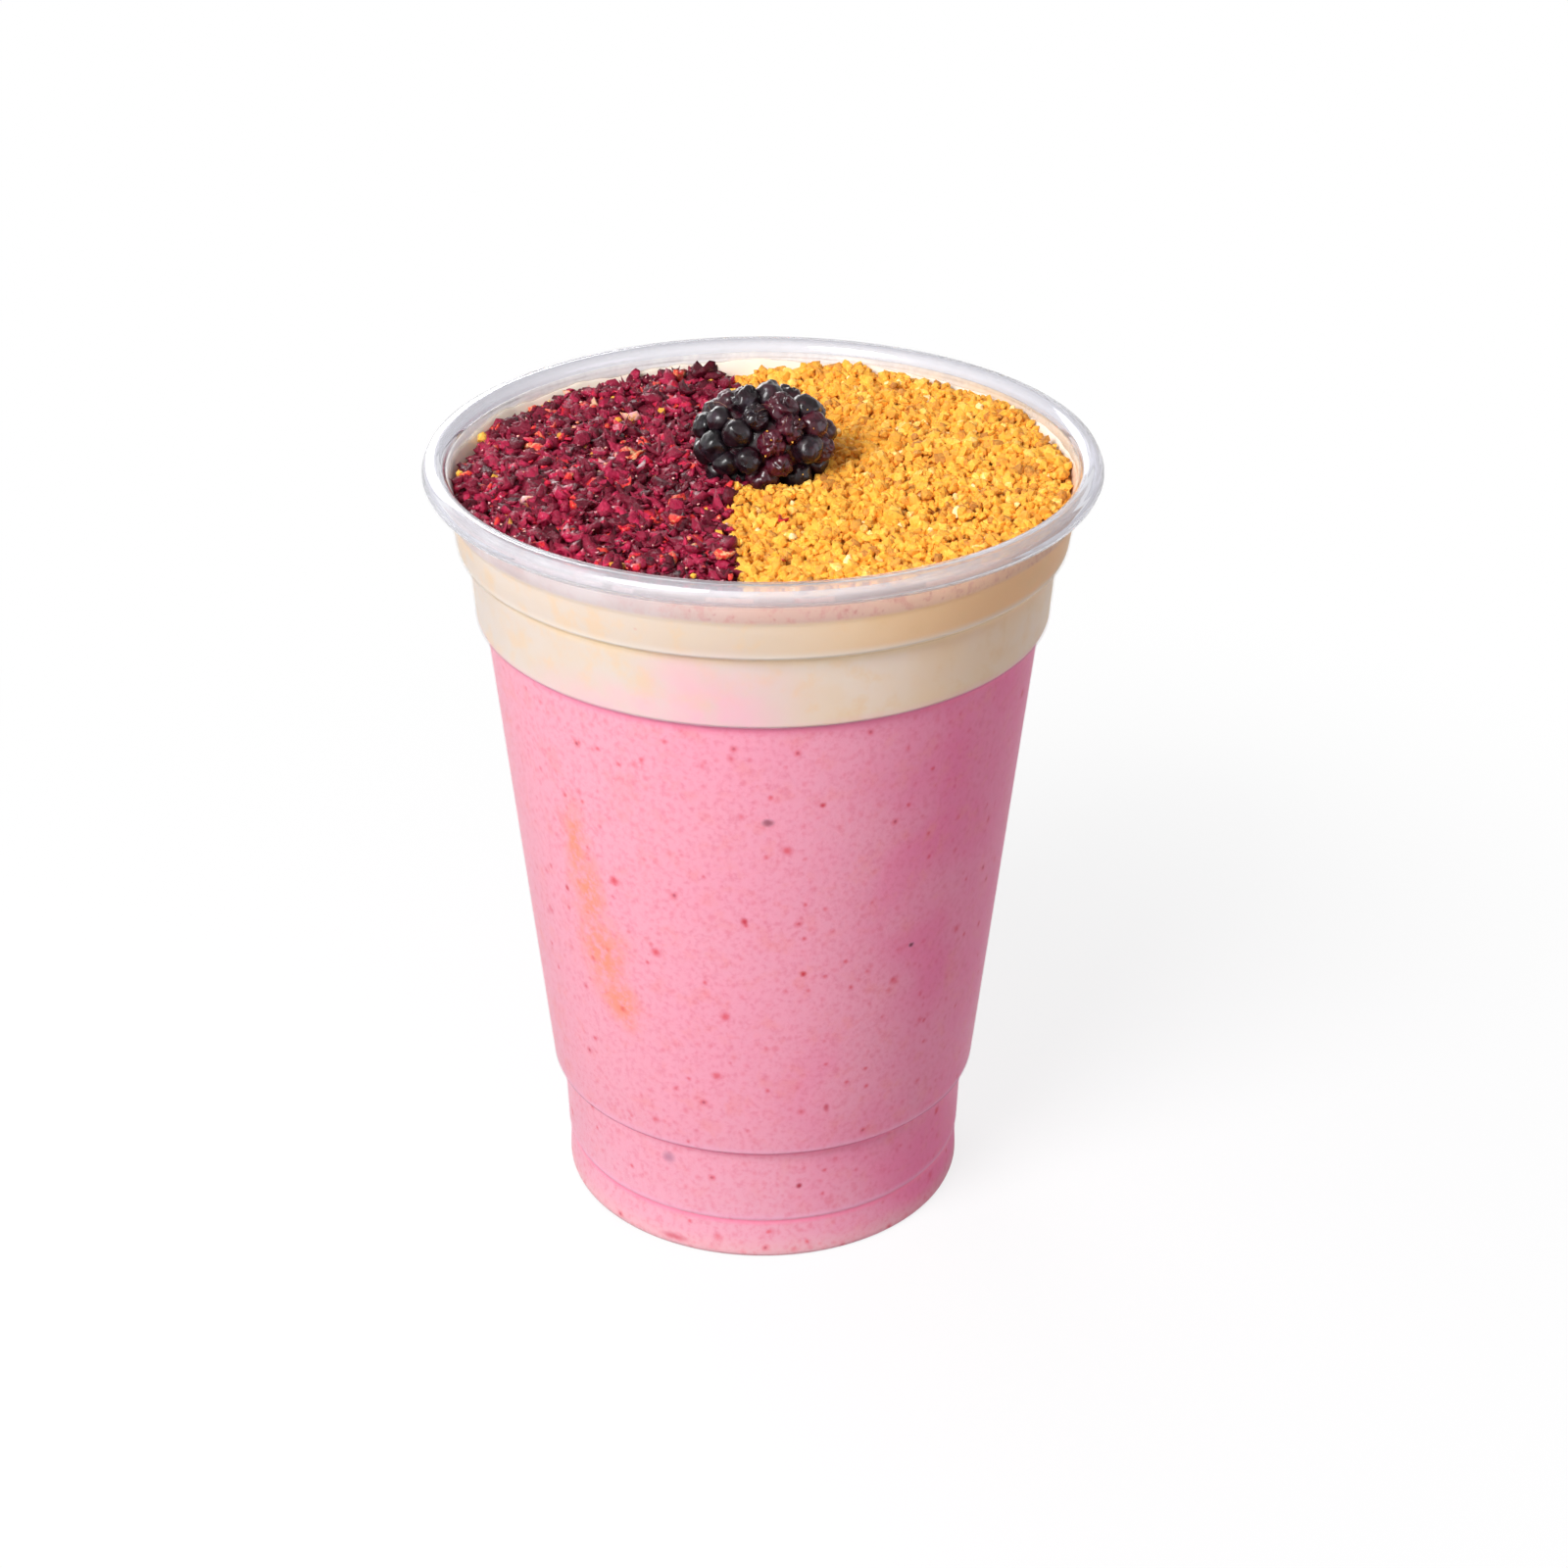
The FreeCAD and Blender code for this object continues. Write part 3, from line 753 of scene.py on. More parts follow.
def cream_finish(colours, cup):
    """Cream with warmer blotches and bands and pink drawn up into it from below. It is
    darkened towards the left as painted shade, has a painted warm light on the right of the
    collar and painted bands of light and shade along the collar's ledge, and above the heaps'
    level a film with stains of fruit, greyer at the front as painted shade of the heap behind it."""
    cream = new_finish("cream")
    warm = colours.cream_warm
    side, back, up = cream.axes()
    swirl = cream.noise(14.0, 3.0, place=cream.ragged(20.0, 8.0))
    shade = cream.blend(cream.remap(swirl, 0.35, 0.66, 0.0, 0.62), colours.cream, warm)
    shade = cream.lay(shade, cream.span(side, 4.0, 32.0, 0.0, 0.42), warm)
    collar = cream.span(up, 107.6, 108.6)
    shade = cream.lay(shade, cream.times(collar, cream.span(side, -34.0, 0.0, 0.12, 1.0)), warm)
    # Painted light: a warm glow on the right of the collar.
    painted_warm_light = cream.times(cream.span(side, 5.0, 42.0), cream.span(up, 104.0, 110.0))
    shade = cream.lay(shade, painted_warm_light, (244, 182, 122), 0.7)
    # Painted shade: duller towards the left, where the key lamp is strongest.
    shade = cream.lay(shade, cream.span(side, 22.0, -6.0, 0.0, 0.62), (208, 196, 188))
    blots = cream.remap(cream.noise(5.0, 4.0, 0.6), 0.48, 0.68, 0.0, 0.4)
    shade = cream.lay(shade, blots, (236, 196, 146))
    # Painted light just above the collar's ledge and a warmer band of painted shade just below it.
    shade = cream.lay(shade, cream.beside(up, COLLAR_TOP, True, 1.5), (236, 224, 214), 0.75)
    shade = cream.lay(shade, cream.beside(up, COLLAR_TOP - 0.4, False, 1.8), (255, 226, 184), 0.85)

    drawn = cream.ragged(9.0, 7.0)
    cloud = cream.mark(drawn, cup, -9, SMOOTHIE_TOP + 0.5, 17.0, 15.0, 0.1)
    low = cream.mark(drawn, cup, -24, SMOOTHIE_TOP, 24.0, 7.5, 0.1)
    pink = cream.work("MAXIMUM", cloud, cream.times(low, 0.8))
    pink = cream.work("MAXIMUM", pink, cream.span(up, 98.6, SMOOTHIE_TOP, 0.0, 0.5))
    pink = cream.times(pink, cream.remap(cream.noise(4.5, 4.0), 0.25, 0.7, 0.35, 0.9))
    shade = cream.lay(shade, pink, (244, 184, 200))
    spots = cream.specks(cream.ragged(1.5, 0.4), 6.0, 0.34, 0.6)
    shade = cream.lay(shade, spots, (214, 96, 84), 0.6)

    # The film is greyer at the front as painted shade of the dark heap behind the thin film, and lighter
    # towards the back; its fruit stains are its own.
    patch = cream.remap(cream.noise(8.0, 3.0), 0.35, 0.65)
    film = cream.blend(patch, (200, 188, 188), (192, 176, 176))
    film = cream.lay(film, cream.span(side, -22.0, 2.0), (204, 170, 158))
    film = cream.lay(film, cream.span(side, 4.0, 34.0), (230, 188, 158))
    there = cream.span(side, -24.0, -2.0, 0.1, 0.42)
    cloud = cream.remap(cream.noise(1.8, 4.0, 0.7), 0.48, 0.66)
    film = cream.lay(film, cream.times(cloud, there), (190, 118, 116))
    stain = cream.specks(cream.ragged(1.5, 0.8), 1.3, 0.30, 0.6)
    film = cream.lay(film, cream.times(stain, there), (170, 90, 92))
    film = cream.lay(film, cream.span(back, -6.0, 12.0), (240, 226, 212))
    shade = cream.lay(shade, cream.span(up, 113.9, 114.6), film)
    bump = cream.bump(swirl, 0.3, 0.5)
    made = cream.skin(shade, 0.5, Specular_IOR_Level=0.25, Normal=bump)
    return cream.soft(made, 0.3, (1.0, 0.8, 0.6), 1.5, "RANDOM_WALK")


def smear_finish():
    """A thin see-through smear of cream on the plastic, peach on the crumbs' side, with tiny
    drops and thinner places."""
    smear = new_finish("cream_smear")
    peach = smear.span(smear.axes()["X"], 6.0, 40.0, 0.0, 0.8)
    shade = smear.blend(peach, (252, 247, 244), (250, 214, 164))
    drops = smear.specks(smear.ragged(1.5, 0.8), 2.2, 0.34, 0.5)
    shade = smear.lay(shade, drops, (196, 110, 110), 0.5)
    thick = smear.remap(smear.noise(5.0, 4.0, 0.6), 0.3, 0.7, 0.28, 0.48)
    return smear.close(smear.skin(shade, 0.4, Alpha=thick).outputs[0])


def crumb_finish(topping, name, shade_drop=0.0):
    """Golden biscuit crumbs: each has its own tone, with a fine grain and toasted pits. A shade
    drop lowers every tone, as painted shade for the core under the crumbs.
    """
    crumb = new_finish(name)
    grain = crumb.noise(0.45, 4.0, 0.65)
    tone = crumb.tone(grain, 0.10)
    if shade_drop:
        tone = crumb.work("SUBTRACT", tone, shade_drop)
    shade = crumb.ramp(
        tone,
        (0.0, topping.toasted),
        (0.16, (200, 138, 62)),
        (0.32, (230, 162, 62)),
        (0.62, topping.golden),
        (0.86, (255, 206, 104)),
        (1.0, topping.pale),
    )
    pits = crumb.specks(crumb.ragged(0.6, 0.3), 1.1, 0.16, 0.6)
    shade = crumb.lay(shade, pits, topping.toasted, 0.55)
    bump = crumb.bump(grain, 0.7, 0.15)
    made = crumb.skin(shade, 0.7, Specular_IOR_Level=0.3, Normal=bump)
    return crumb.soft(made, 0.55, (1.0, 0.65, 0.3), 0.8)


def flake_finish(topping, name):
    """Dried dark fruit: plum to magenta and red by each flake's tone, mottled, with a waxy
    gloss that comes and goes. The palest pink tone is a painted highlight on tiny chips."""
    flake = new_finish(name)
    mottle = flake.noise(0.7, 4.0, 0.6)
    shade = flake.ramp(
        flake.tone(mottle, 0.06),
        (0.0, topping.plum_dark),
        (0.35, topping.plum),
        (0.62, (166, 30, 66)),
        (0.76, (196, 44, 84)),
        (0.82, topping.red),
        (0.89, (236, 84, 60)),
        (0.94, (240, 190, 140)),
        # The palest pink is the colour of painted highlights.
        (1.0, (240, 168, 178)),
    )
    gloss = flake.remap(flake.noise(1.3, 3.0), 0.40, 0.60, 0.10, 0.60)
    bump = flake.bump(mottle, 1.0, 0.4)
    made = flake.skin(shade, gloss, Specular_IOR_Level=0.34, Normal=bump)
    made.inputs["Specular Tint"].default_value = (1.0, 0.72, 0.80, 1.0)
    return flake.soft(made, 0.12, (1.0, 0.2, 0.3), 0.6)


def berry_finish(berry):
    """Ripe bramble berry: ink to wine by each bead's tone, dull grey patches of painted sheen,
    and a wet skin over fine wrinkles."""
    ripe = new_finish("bramble_skin")
    tone = ripe.tone(ripe.noise(2.2, 4.0, 0.6), 0.22)
    shade = ripe.ramp(tone, (0.0, berry.ink), (0.40, (30, 12, 20)), (1.0, berry.wine))
    # Painted sheen: dull grey patches over the dark skin.
    painted_sheen = ripe.remap(ripe.noise(1.6, 3.0), 0.52, 0.74, 0.0, 0.16)
    shade = ripe.lay(shade, painted_sheen, (98, 88, 106))
    gloss = ripe.remap(ripe.noise(1.1, 3.0), 0.35, 0.65, 0.24, 0.5)
    bump = ripe.bump(ripe.noise(0.55, 3.0), 0.35, 0.12)
    wet = {"Coat_Weight": 0.4, "Coat_Roughness": 0.1}
    made = ripe.skin(shade, gloss, Specular_IOR_Level=0.3, Normal=bump, **wet)
    return ripe.soft(made, 0.06, (1.0, 0.2, 0.3), 0.8)


def hair_finish(berry):
    """Dry golden hair, browner in places."""
    hair = new_finish("dry_hair")
    patch = hair.remap(hair.noise(0.8, 2.0), 0.3, 0.7)
    return hair.close(hair.skin(hair.blend(patch, berry.hair, (112, 70, 56)), 0.5).outputs[0])


# ---------------------------------------------------------------- pieces


class FRUITDRINK_OT_cup(bpy.types.Operator):
    """Make the clear cup with its rolled lip"""

    bl_idname = "fruitdrink.cup"
    bl_label = "Clear Cup"

    def execute(self, context):
        cup = context.scene.fruit_drink.cup
        wall, roll = cup.wall / MM, cup.lip_roll / MM
        outer = wall_path(cup, 0.0, 0.0)
        inner = wall_path(cup, wall, wall / 2.0)
        lip = np.array([cup.rim_radius / MM - roll, cup.height / MM - roll])
        under = rounded(UNDERSIDE + WALL[:2])[:-1] * cup_scale(cup)
        # The inner wall stops above its lowest ring, where the bend of the floor takes over.
        section = [
            under[under[:, 0] < UNDERSIDE_RADIUS],
            outer[1:-1],
            circle(lip, roll - wall, np.linspace(180.0, -90.0, LIP_INSIDE_STEPS)),
            [[lip[0] - 0.1, lip[1] - roll + wall / 2.0]],
            ridged(lip, roll, LIP_OUTSIDE_STEPS),
            inner[5:-1][::-1],
            rounded((tuple(inner[6]) + (0.0,), *INNER_FLOOR))[1:],
        ]
        points = revolve(np.vstack(section), cup.steps)
        make_piece("clear_cup", points, clear_plastic(cup), "cup")
        return {"FINISHED"}


class FRUITDRINK_OT_smoothie(bpy.types.Operator):
    """Fill the cup with pink smoothie, which reaches just into the wall"""

    bl_idname = "fruitdrink.smoothie"
    bl_label = "Smoothie"

    def execute(self, context):
        settings = context.scene.fruit_drink
        wall = wall_between(settings.cup, SMOOTHIE_LOW, SMOOTHIE_TOP, SMOOTHIE_REACH)
        section = np.vstack([SMOOTHIE_FOOT, wall, [[0.0, SMOOTHIE_TOP]]])
        material = smoothie_finish(settings.contents, settings.cup)
        make_piece("pink_smoothie", revolve(section, SMOOTHIE_STEPS), material, "smoothie")
        return {"FINISHED"}


class FRUITDRINK_OT_cream(bpy.types.Operator):
    """Spread the cream layer, with a thin uneven edge up the wall"""

    bl_idname = "fruitdrink.cream"
    bl_label = "Cream"

    def execute(self, context):
        settings = context.scene.fruit_drink
        low, top = SMOOTHIE_TOP - 0.05, CREAM_BRIM
        wall = wall_between(settings.cup, low, top)
        brim = [[wall[-1, 0] - 0.3, top + 0.1], [44.9, top - 0.3], [44.4, 115.4], [43.6, 114.4]]
        section = np.vstack([[[0.0, low]], wall, brim, [[0.0, CREAM_TOP]]])
        points = revolve(section, CREAM_STEPS)
        angle = np.arctan2(points[..., 0], points[..., 1])
        around = np.stack([np.sin(angle), np.cos(angle)], axis=-1) * 45.0
        uneven = 0.22 * waves(around, 14.0, 21) + 0.12 * waves(around, 4.0, 22)
        points[..., 2] += np.where(points[..., 2] > top - 2.0, uneven, 0.0)
        make_piece("cream_layer", points, cream_finish(settings.contents, settings.cup), "cream")
        return {"FINISHED"}


class FRUITDRINK_OT_smear(bpy.types.Operator):
    """Smear a thin see-through film of cream on the wall above the heaps"""

    bl_idname = "fruitdrink.smear"
    bl_label = "Cream Smear"

    def execute(self, context):
        wall = wall_between(context.scene.fruit_drink.cup, SMEAR_LOW, SMEAR_TOP)
        inside = wall[::-1] - np.array([SMEAR_THICK, 0.0])
        points = revolve(np.vstack([wall, inside, wall[:1]]), CREAM_STEPS)
        make_piece("cream_smear", points, smear_finish(), "cream")
        return {"FINISHED"}


class FRUITDRINK_OT_beds(bpy.types.Operator):
    """Make the lumpy core under each heap, coloured as painted shade in the gaps between the pieces"""

    bl_idname = "fruitdrink.beds"
    bl_label = "Heap Cores"

    def execute(self, context):
        topping = context.scene.fruit_drink.topping
        # The cores are coloured low in tone, as painted shade in the gaps between the crumbs and the
        # flakes on them.
        flakes = flake_finish(topping, "flake_core_painted_shade")
        crumbs = crumb_finish(topping, "crumb_core_painted_shade", 0.15)
        for name, side, lowered, seed, material, part in (
            ("flake_core", -1, 1.3, 31, flakes, "fruit_flakes"),
            ("crumb_core", 1, 1.2, 32, crumbs, "yellow_crumbs"),
        ):
            points = bed(side, lowered, seed)
            tone = 0.3 + 0.18 * waves(points.reshape(-1, 3), 2.2, seed + 10)
            make_piece(name, points, material, part, tone=tone)
        return {"FINISHED"}


class FRUITDRINK_OT_crumbs(bpy.types.Operator):
    """Scatter the golden crumbs over their core"""

    bl_idname = "fruitdrink.crumbs"
    bl_label = "Golden Crumbs"

    def execute(self, context):
        topping = context.scene.fruit_drink.topping
        dice = np.random.default_rng(101)
        size, gap = topping.crumb_size / MM, topping.crumb_gap / MM
        layers = []
        for lift, share in ((-0.70, 1.0), (-0.10, 0.74)):
            spots = keep_side(spread_points(dice, gap, 0.22), 1, dice, 0.45)
            clumps = waves(spots, 4.2, 43)
            spots = spots[dice.uniform(size=len(spots)) < share + 0.4 * clumps * (lift > -0.5)]
            above = lift + 0.30 * waves(spots, 3.6, 44) + dice.normal(scale=0.14, size=len(spots))
            layers.append(on_heap(spots, above))
        strays = keep_side(spread_points(dice, 5.2, 0.6), -1, dice, 0.2)
        edge = np.hypot(strays[:, 0], strays[:, 1]) / HEAP_RADIUS
        strays = strays[dice.uniform(size=len(strays)) < 0.10 + 0.5 * (edge > 0.86)]
        place = np.vstack([*layers, on_heap(strays, 0.15)])
        place = place[off_berry(place, -0.2)]
        grain = size * np.clip(dice.lognormal(0.0, 0.32, len(place)), 0.4, 1.55) / 2.0
        way = unit(dice.normal(size=(DUST, 3)) + np.array([0.4, -0.6, -0.2]))
        dust = BERRY_MIDDLE + way[way[:, 2] > -0.35] * (BERRY_HALF - 0.25)
        place = np.vstack([place, dust])
        grain = np.concatenate([grain, dice.uniform(0.09, 0.2, len(dust))])
        number = len(place)

        ball, faces = chip()
        stretch = dice.uniform(0.7, 1.3, (number, 1, 3))
        rough = 1.0 + dice.normal(scale=0.20, size=(number, len(ball), 1)).clip(-0.4, 0.45)
        shapes = ball[None] * stretch * rough * grain[:, None, None]
        points = placed(shapes, turns(dice, number), place)
        tone = 0.50 + 0.13 * waves(place[:, :2], 9.0, 45) + 0.08 * waves(place[:, :2], 3.0, 46)
        tone = tone + dice.normal(scale=0.14, size=number)
        odd = dice.uniform(size=number)
        tone = np.where(odd < 0.012, 0.10, np.where(odd > 0.994, 1.0, tone)).clip(0.0, 1.0)
        material = crumb_finish(topping, "golden_crumbs")
        make_piece(
            "golden_crumbs",
            points,
            material,
            "yellow_crumbs",
            faces=copies(faces, len(ball), number),
            smooth=False,
            weld=False,
            tone=np.repeat(tone, len(ball)),
        )
        return {"FINISHED"}


class FRUITDRINK_OT_flakes(bpy.types.Operator):
    """Scatter the dried fruit flakes over their core"""

    bl_idname = "fruitdrink.flakes"
    bl_label = "Fruit Flakes"

    def execute(self, context):
        topping = context.scene.fruit_drink.topping
        dice = np.random.default_rng(202)
        size = topping.flake_size / MM
        gap = math.sqrt(math.pi * HEAP_RADIUS**2 / 2.0 / topping.flakes * 2.0 / HONEYCOMB)
        layers = []
        for lift, part in ((-0.95, 1.0), (-0.15, 1.0), (0.30, 1.7)):
            spots = keep_side(spread_points(dice, gap * part, 0.30), -1, dice, 0.7)
            above = lift + 0.32 * waves(spots, 4.4, 54) + dice.normal(scale=0.26, size=len(spots))
            layers.append(np.column_stack([on_heap(spots, above), np.full(len(spots), part**-1.5)]))
        strays = keep_side(spread_points(dice, 6.0, 0.6), 1, dice, 0.2)
        strays = strays[dice.uniform(size=len(strays)) < 0.5 * np.exp(-(strays[:, 0] + 3.0) / 4.0)]
        layers.append(np.column_stack([on_heap(strays, 0.25), np.full(len(strays), 0.8)]))
        place = np.vstack(layers)
        inside = np.hypot(place[:, 0], place[:, 1]) < HEAP_RADIUS - 0.9
        place = place[inside & off_berry(place[:, :3], 0.1)]
        part, place = place[:, 3], place[:, :3]
        number = len(place)

        ball, faces = pebble()
        long = size * part * np.clip(dice.lognormal(-0.05, 0.42, number), 0.35, 1.7) / 2.0
        width = dice.uniform(0.55, 0.95, number)
        spread = np.stack([np.ones(number), width, dice.uniform(0.24, 0.58, number)], axis=1)
        rough = 1.0 + dice.normal(scale=0.19, size=(number, len(ball), 1)).clip(-0.38, 0.42)
        shapes = ball[None] * rough * spread[:, None, :]
        way = dice.uniform(0.0, TURN, (number, 1))
        across = shapes[..., 0] * np.cos(way) + shapes[..., 1] * np.sin(way)
        fold = dice.normal(scale=0.48, size=(number, 1))
        curl = dice.normal(scale=0.5, size=(number, 1))
        shapes[..., 2] += fold * np.abs(across) + curl * across**2
        along = shapes[..., 1] * np.cos(way) - shapes[..., 0] * np.sin(way)
        shapes[..., 2] += 0.24 * np.sin(5.0 * across + 9.0 * way) * np.cos(3.0 * along)
        tilt = np.abs(dice.normal(scale=math.radians(34.0), size=number)).clip(0.0, 1.0)
        turn = turns(dice, number, tilt)
        tone = 0.39 + 0.10 * waves(place[:, :2], 8.0, 55) + dice.normal(scale=0.22, size=number)
        tone = tone.clip(0.02, 0.78)
        odd = dice.uniform(size=number)
        tone = np.where(odd < 0.065, dice.uniform(0.80, 0.90, number), tone)
        tone = np.where(odd > 0.992, 0.96, tone)
        # Some of the smallest chips on top take the palest pink tone as painted highlights.
        painted_glint = (part < 0.7) & (odd > 0.62)
        tone = np.where(painted_glint, 1.0, tone)
        long = np.where(painted_glint, np.minimum(long, 0.26), long)
        points = placed(shapes * long[:, None, None], turn, place)
        material = flake_finish(topping, "fruit_flakes")
        make_piece(
            "fruit_flakes_loose",
            points,
            material,
            "fruit_flakes",
            faces=copies(faces, len(ball), number),
            weld=False,
            tone=np.repeat(tone, len(ball)),
        )
        return {"FINISHED"}


class FRUITDRINK_OT_berry(bpy.types.Operator):
    """Make the bramble berry: a core and its round beads, some of them shrunken"""

    bl_idname = "fruitdrink.berry"
    bl_label = "Bramble Berry"

    def execute(self, context):
        berry = context.scene.fruit_drink.berry
        dice = np.random.default_rng(304)
        radius, number = berry.drupelet_radius / MM, berry.drupelets
        way = bead_places(number)
        middle = way * (BERRY_HALF - radius * 1.02)
        outward = unit(way / BERRY_HALF)
        ball = bead(BEAD_ROWS, BEAD_COLUMNS)
        size = radius * np.clip(dice.normal(1.0, 0.08, number), 0.84, 1.12)
        shrunk = np.where(dice.uniform(size=number) < 0.45, dice.uniform(0.6, 1.15, number), 0.22)
        shrunk = np.where(middle[:, 0] < -3.0, shrunk * 0.4, shrunk)
        side = unit(np.cross(outward, np.array([0.3, 0.9, 0.3])))
        turn = np.stack([side, np.cross(outward, side), outward], axis=2)
        shapes = ball[None] * size[:, None, None] * (1.0 + 0.10 * ball[None, :, 2:3])
        spots = placed(shapes, turn, middle)
        crease = waves(spots, 2.4, 61) + 0.6 * waves(spots, 1.3, 62)
        groove = np.clip(1.0 - 1.6 * np.abs(crease), 0.0, 1.0) ** 1.5
        dent = 0.34 * shrunk[:, None] * groove
        lump = 0.06 * waves(spots, 2.6, 63) + 0.018 * waves(spots, 1.0, 64)
        beads = placed(shapes * (1.0 + lump - dent)[..., None], turn, middle)
        tone = 0.30 + 0.022 * middle[:, 0] + dice.normal(scale=0.16, size=number)
        tone = (tone + 0.25 * (shrunk > 0.4)).clip(0.0, 1.0)

        core = ball * (BERRY_HALF - radius * 1.25)
        make_piece(
            "bramble_berry_beads",
            np.vstack([beads.reshape(-1, 3), core]) + BERRY_MIDDLE,
            berry_finish(berry),
            "bramble_berry",
            faces=copies(grid_faces(BEAD_ROWS, BEAD_COLUMNS), len(ball), number + 1),
            tone=np.repeat(np.append(tone, 0.5), len(ball)),
        )
        return {"FINISHED"}


class FRUITDRINK_OT_hairs(bpy.types.Operator):
    """Add the dry hairs that stand between the berry's beads"""

    bl_idname = "fruitdrink.hairs"
    bl_label = "Berry Hairs"

    def execute(self, context):
        berry = context.scene.fruit_drink.berry
        dice = np.random.default_rng(305)
        way = dice.normal(size=(HAIRS, 3))
        way[:, 2] = np.abs(way[:, 2]) * 0.8
        way = unit(way)
        along = np.linspace(0.0, 1.0, HAIR_POINTS)[None, :, None]
        start = way * (BERRY_HALF - 1.5)
        drift = unit(np.cross(way, dice.normal(size=(HAIRS, 3))))
        reach = dice.uniform(1.0, 2.2, (HAIRS, 1, 1))
        line = start[:, None] + way[:, None] * 1.45 * np.sin(along * math.pi * 0.62)
        line = line + drift[:, None] * reach * along**1.5
        width = 0.05 * (1.0 - 0.55 * along)
        turn = np.linspace(0.0, TURN, HAIR_SIDES, endpoint=False)[None, None, :, None]
        other = np.cross(way, drift)
        ring = other[:, None, None] * np.cos(turn) + way[:, None, None] * np.sin(turn)
        tube = line[:, :, None] + ring * width[:, :, None]
        ends = [line[:, spot : spot + 1, None].repeat(HAIR_SIDES, axis=2) for spot in (0, HAIR_POINTS - 1)]
        tube = np.concatenate([ends[0], tube, ends[1]], axis=1) + BERRY_MIDDLE
        rows = tube.shape[1]
        faces = copies(grid_faces(rows, HAIR_SIDES), rows * HAIR_SIDES, HAIRS)
        make_piece("berry_hairs", tube, hair_finish(berry), "bramble_berry", faces=faces)
        return {"FINISHED"}


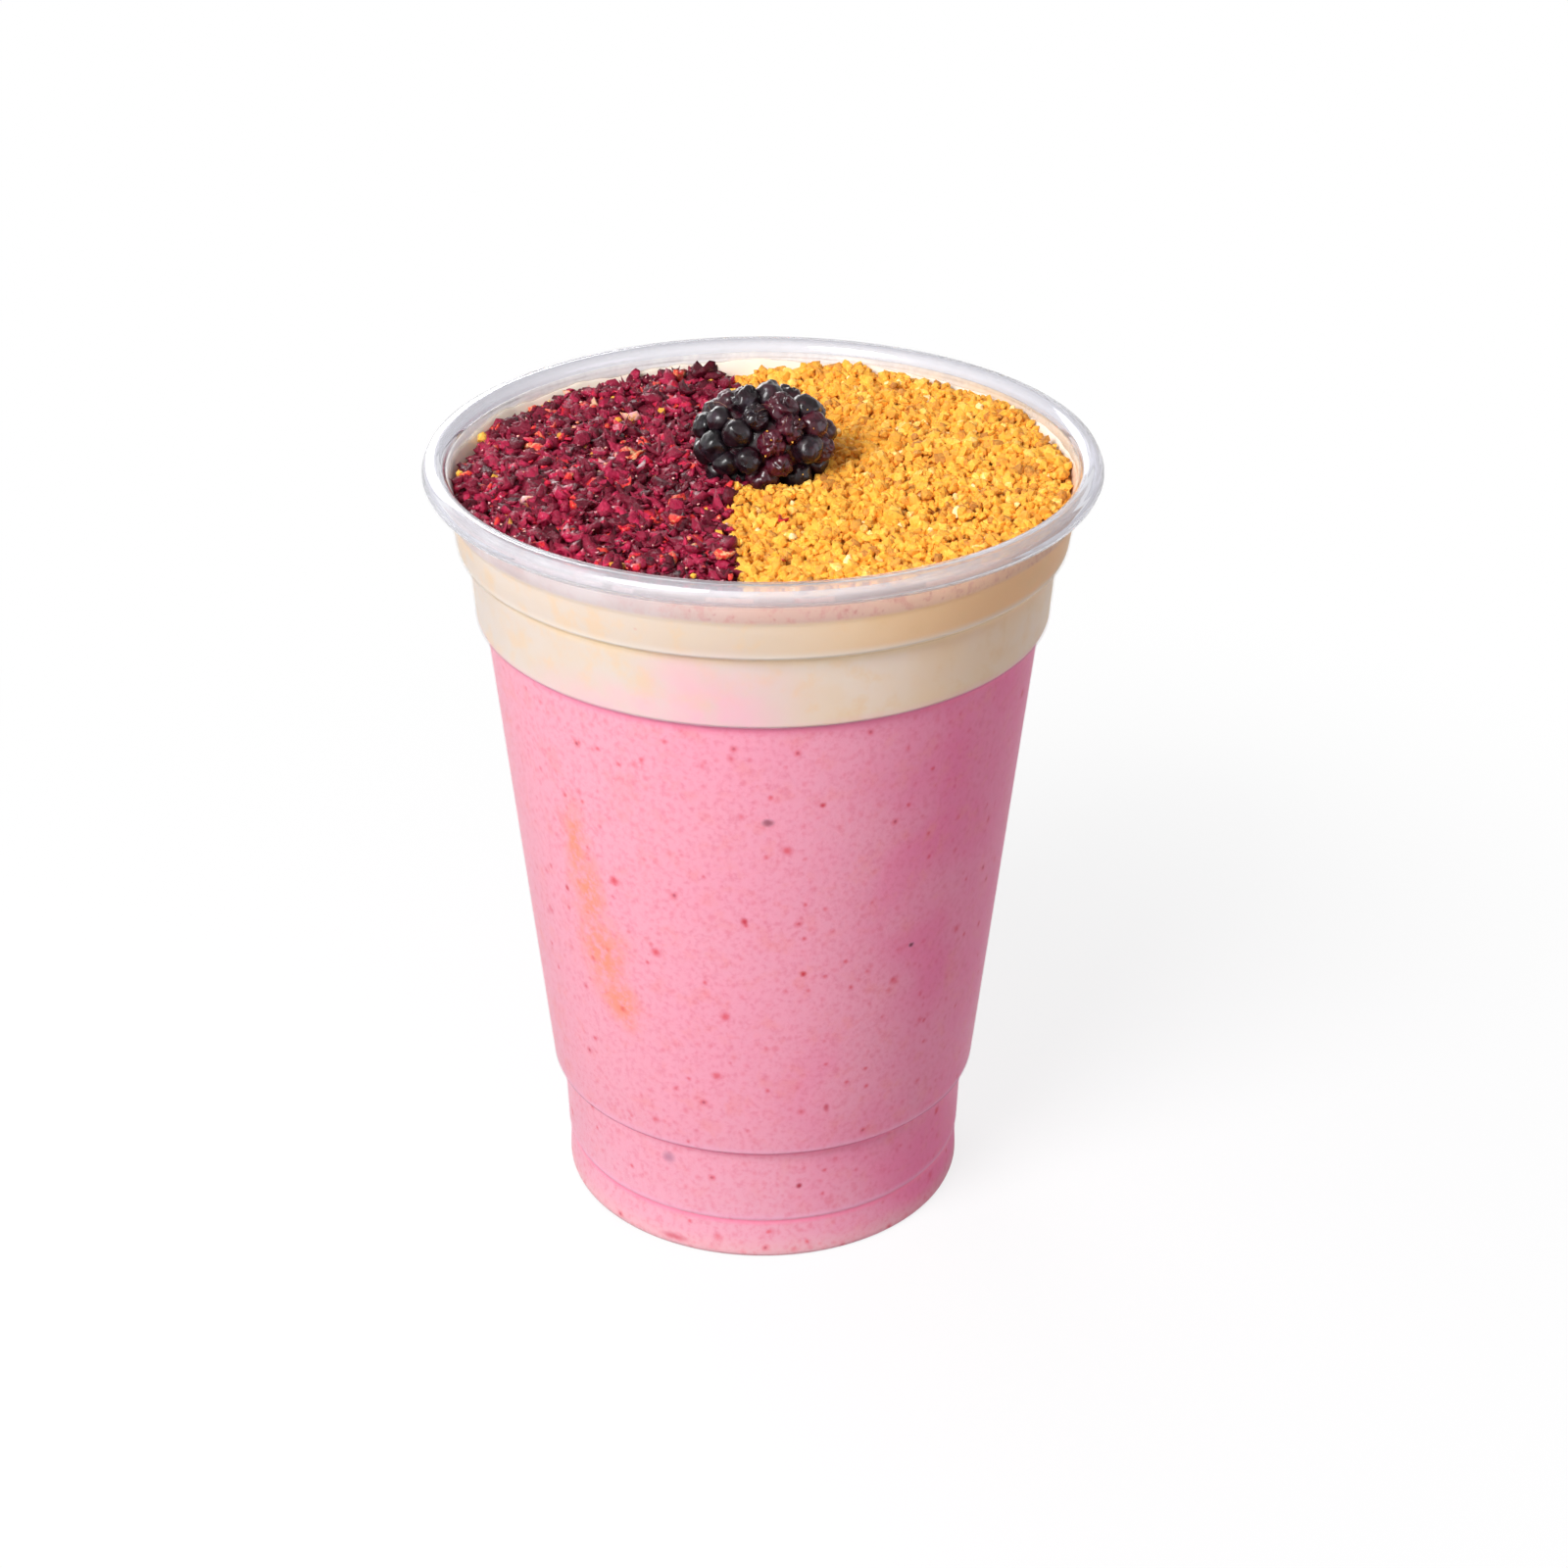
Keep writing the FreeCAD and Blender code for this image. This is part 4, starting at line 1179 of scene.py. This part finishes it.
class FRUITDRINK_OT_stage(bpy.types.Operator):
    """Set the pale floor, the soft lamps and the camera"""

    bl_idname = "fruitdrink.stage"
    bl_label = "Stage"

    def execute(self, context):
        stage = context.scene.fruit_drink.stage
        scene = context.scene
        scene.view_settings.view_transform = "Standard"
        self.camera(scene, stage)
        self.lamp(scene, "key", (-0.375, -0.495, 0.565), 0.42, stage.key)
        self.lamp(scene, "back", (-0.26, 0.66, 0.33), 0.45, stage.back)
        self.lamp(scene, "fill", (0.60, -0.30, 0.25), 0.40, stage.fill).color = (0.92, 0.84, 1.0)
        self.sky(scene, stage.sky)
        self.floor(scene)
        return {"FINISHED"}

    def camera(self, scene, stage):
        """The camera looks at a point on the axis from in front and above."""
        data = bpy.data.cameras.new("camera")
        data.lens = stage.lens
        data.shift_x = CAMERA_SHIFT
        data.clip_start = 0.01
        camera = bpy.data.objects.new("camera", data)
        scene.collection.objects.link(camera)
        angle = stage.elevation
        above = stage.aim_height + stage.distance * math.sin(angle)
        camera.location = (0.0, -stage.distance * math.cos(angle), above)
        camera.rotation_euler = (math.pi / 2.0 - angle, 0.0, 0.0)
        scene.camera = camera

    def lamp(self, scene, name, place, size, power):
        """A round soft lamp that faces the middle of the cup."""
        data = bpy.data.lights.new(name, "AREA")
        data.shape = "DISK"
        data.size = size
        data.energy = power
        lamp = bpy.data.objects.new(name, data)
        scene.collection.objects.link(lamp)
        lamp.location = place
        x, y, z = np.array([0.0, 0.0, 0.08]) - np.array(place)
        lamp.rotation_euler = (math.atan2(math.hypot(x, y), -z), 0.0, math.atan2(y, x) - math.pi / 2.0)
        return data

    def sky(self, scene, strength):
        """Even light from all round, shown as plain white behind the object."""
        air = Finish(bpy.data.worlds.new("studio"))
        path = air.node("LightPath").outputs
        mirrored = air.work("MAXIMUM", path["Is Glossy Ray"], path["Is Transmission Ray"])
        up = air.axes(air.coords["Generated"])["Z"]
        mirrored = air.times(mirrored, air.remap(up, 0.75, 0.15, 0.25, 1.0))
        seen = air.work("MAXIMUM", path["Is Camera Ray"], mirrored)
        soft = air.node("Background", {"Color": WHITE, "Strength": strength}).outputs[0]
        white = air.node("Background", {"Color": WHITE, "Strength": 1.0}).outputs[0]
        scene.world = air.close(air.mix(seen, soft, white), "OutputWorld")

    def floor(self, scene):
        """A pale floor: shown near white, with the object's shadow kept faint."""
        pale = new_finish("pale_floor")
        path = pale.node("LightPath").outputs
        seen = pale.work("MAXIMUM", path["Is Camera Ray"], path["Is Glossy Ray"])
        seen = pale.work("MAXIMUM", seen, path["Is Transmission Ray"])
        shade = pale.blend(seen, (0.42, 0.42, 0.42, 1.0), (0.86, 0.86, 0.87, 1.0))
        matt = pale.node("BsdfDiffuse", {"Color": shade}).outputs[0]
        white = pale.node("Emission", {"Color": WHITE}).outputs[0]
        plain = pale.remap(pale.far(pale.place), 0.06, 0.24, 0.80, 1.0)
        material = pale.close(pale.mix(pale.times(seen, plain), matt, white))
        mesh = bpy.data.meshes.new("floor")
        corners = [(x * FLOOR_HALF, y * FLOOR_HALF, 0.0) for x, y in ((-1, -1), (1, -1), (1, 1), (-1, 1))]
        mesh.from_pydata(corners, [], [(0, 1, 2, 3)])
        mesh.materials.append(material)
        floor = bpy.data.objects.new("floor", mesh)
        scene.collection.objects.link(floor)


class FRUITDRINK_PT_panel(bpy.types.Panel):
    """Lists the drink's pieces and settings"""

    bl_idname = "FRUITDRINK_PT_panel"
    bl_label = "Fruit Drink"
    bl_space_type = "VIEW_3D"
    bl_region_type = "UI"
    bl_category = "Fruit Drink"

    def draw(self, context):
        settings = context.scene.fruit_drink
        for piece in PIECES:
            self.layout.operator(piece.bl_idname)
        for group in ("cup", "contents", "topping", "berry", "stage"):
            box = self.layout.box()
            box.label(text=group.capitalize())
            chosen = getattr(settings, group)
            for key in chosen.__annotations__:
                box.prop(chosen, key)


PIECES = (
    FRUITDRINK_OT_stage,
    FRUITDRINK_OT_cup,
    FRUITDRINK_OT_smoothie,
    FRUITDRINK_OT_cream,
    FRUITDRINK_OT_smear,
    FRUITDRINK_OT_beds,
    FRUITDRINK_OT_crumbs,
    FRUITDRINK_OT_flakes,
    FRUITDRINK_OT_berry,
    FRUITDRINK_OT_hairs,
)
CLASSES = (
    FRUITDRINK_PG_cup,
    FRUITDRINK_PG_contents,
    FRUITDRINK_PG_topping,
    FRUITDRINK_PG_berry,
    FRUITDRINK_PG_stage,
    FRUITDRINK_PG_settings,
    *PIECES,
    FRUITDRINK_PT_panel,
)


def register():
    """Adds the classes and the scene's settings."""
    for each in CLASSES:
        bpy.utils.register_class(each)
    bpy.types.Scene.fruit_drink = bpy.props.PointerProperty(type=FRUITDRINK_PG_settings)


def unregister():
    """Takes the settings and the classes away again."""
    del bpy.types.Scene.fruit_drink
    for each in reversed(CLASSES):
        bpy.utils.unregister_class(each)


def main():
    register()
    for piece in PIECES:
        group, name = piece.bl_idname.split(".")
        getattr(getattr(bpy.ops, group), name)()


if __name__ == "__main__":
    main()
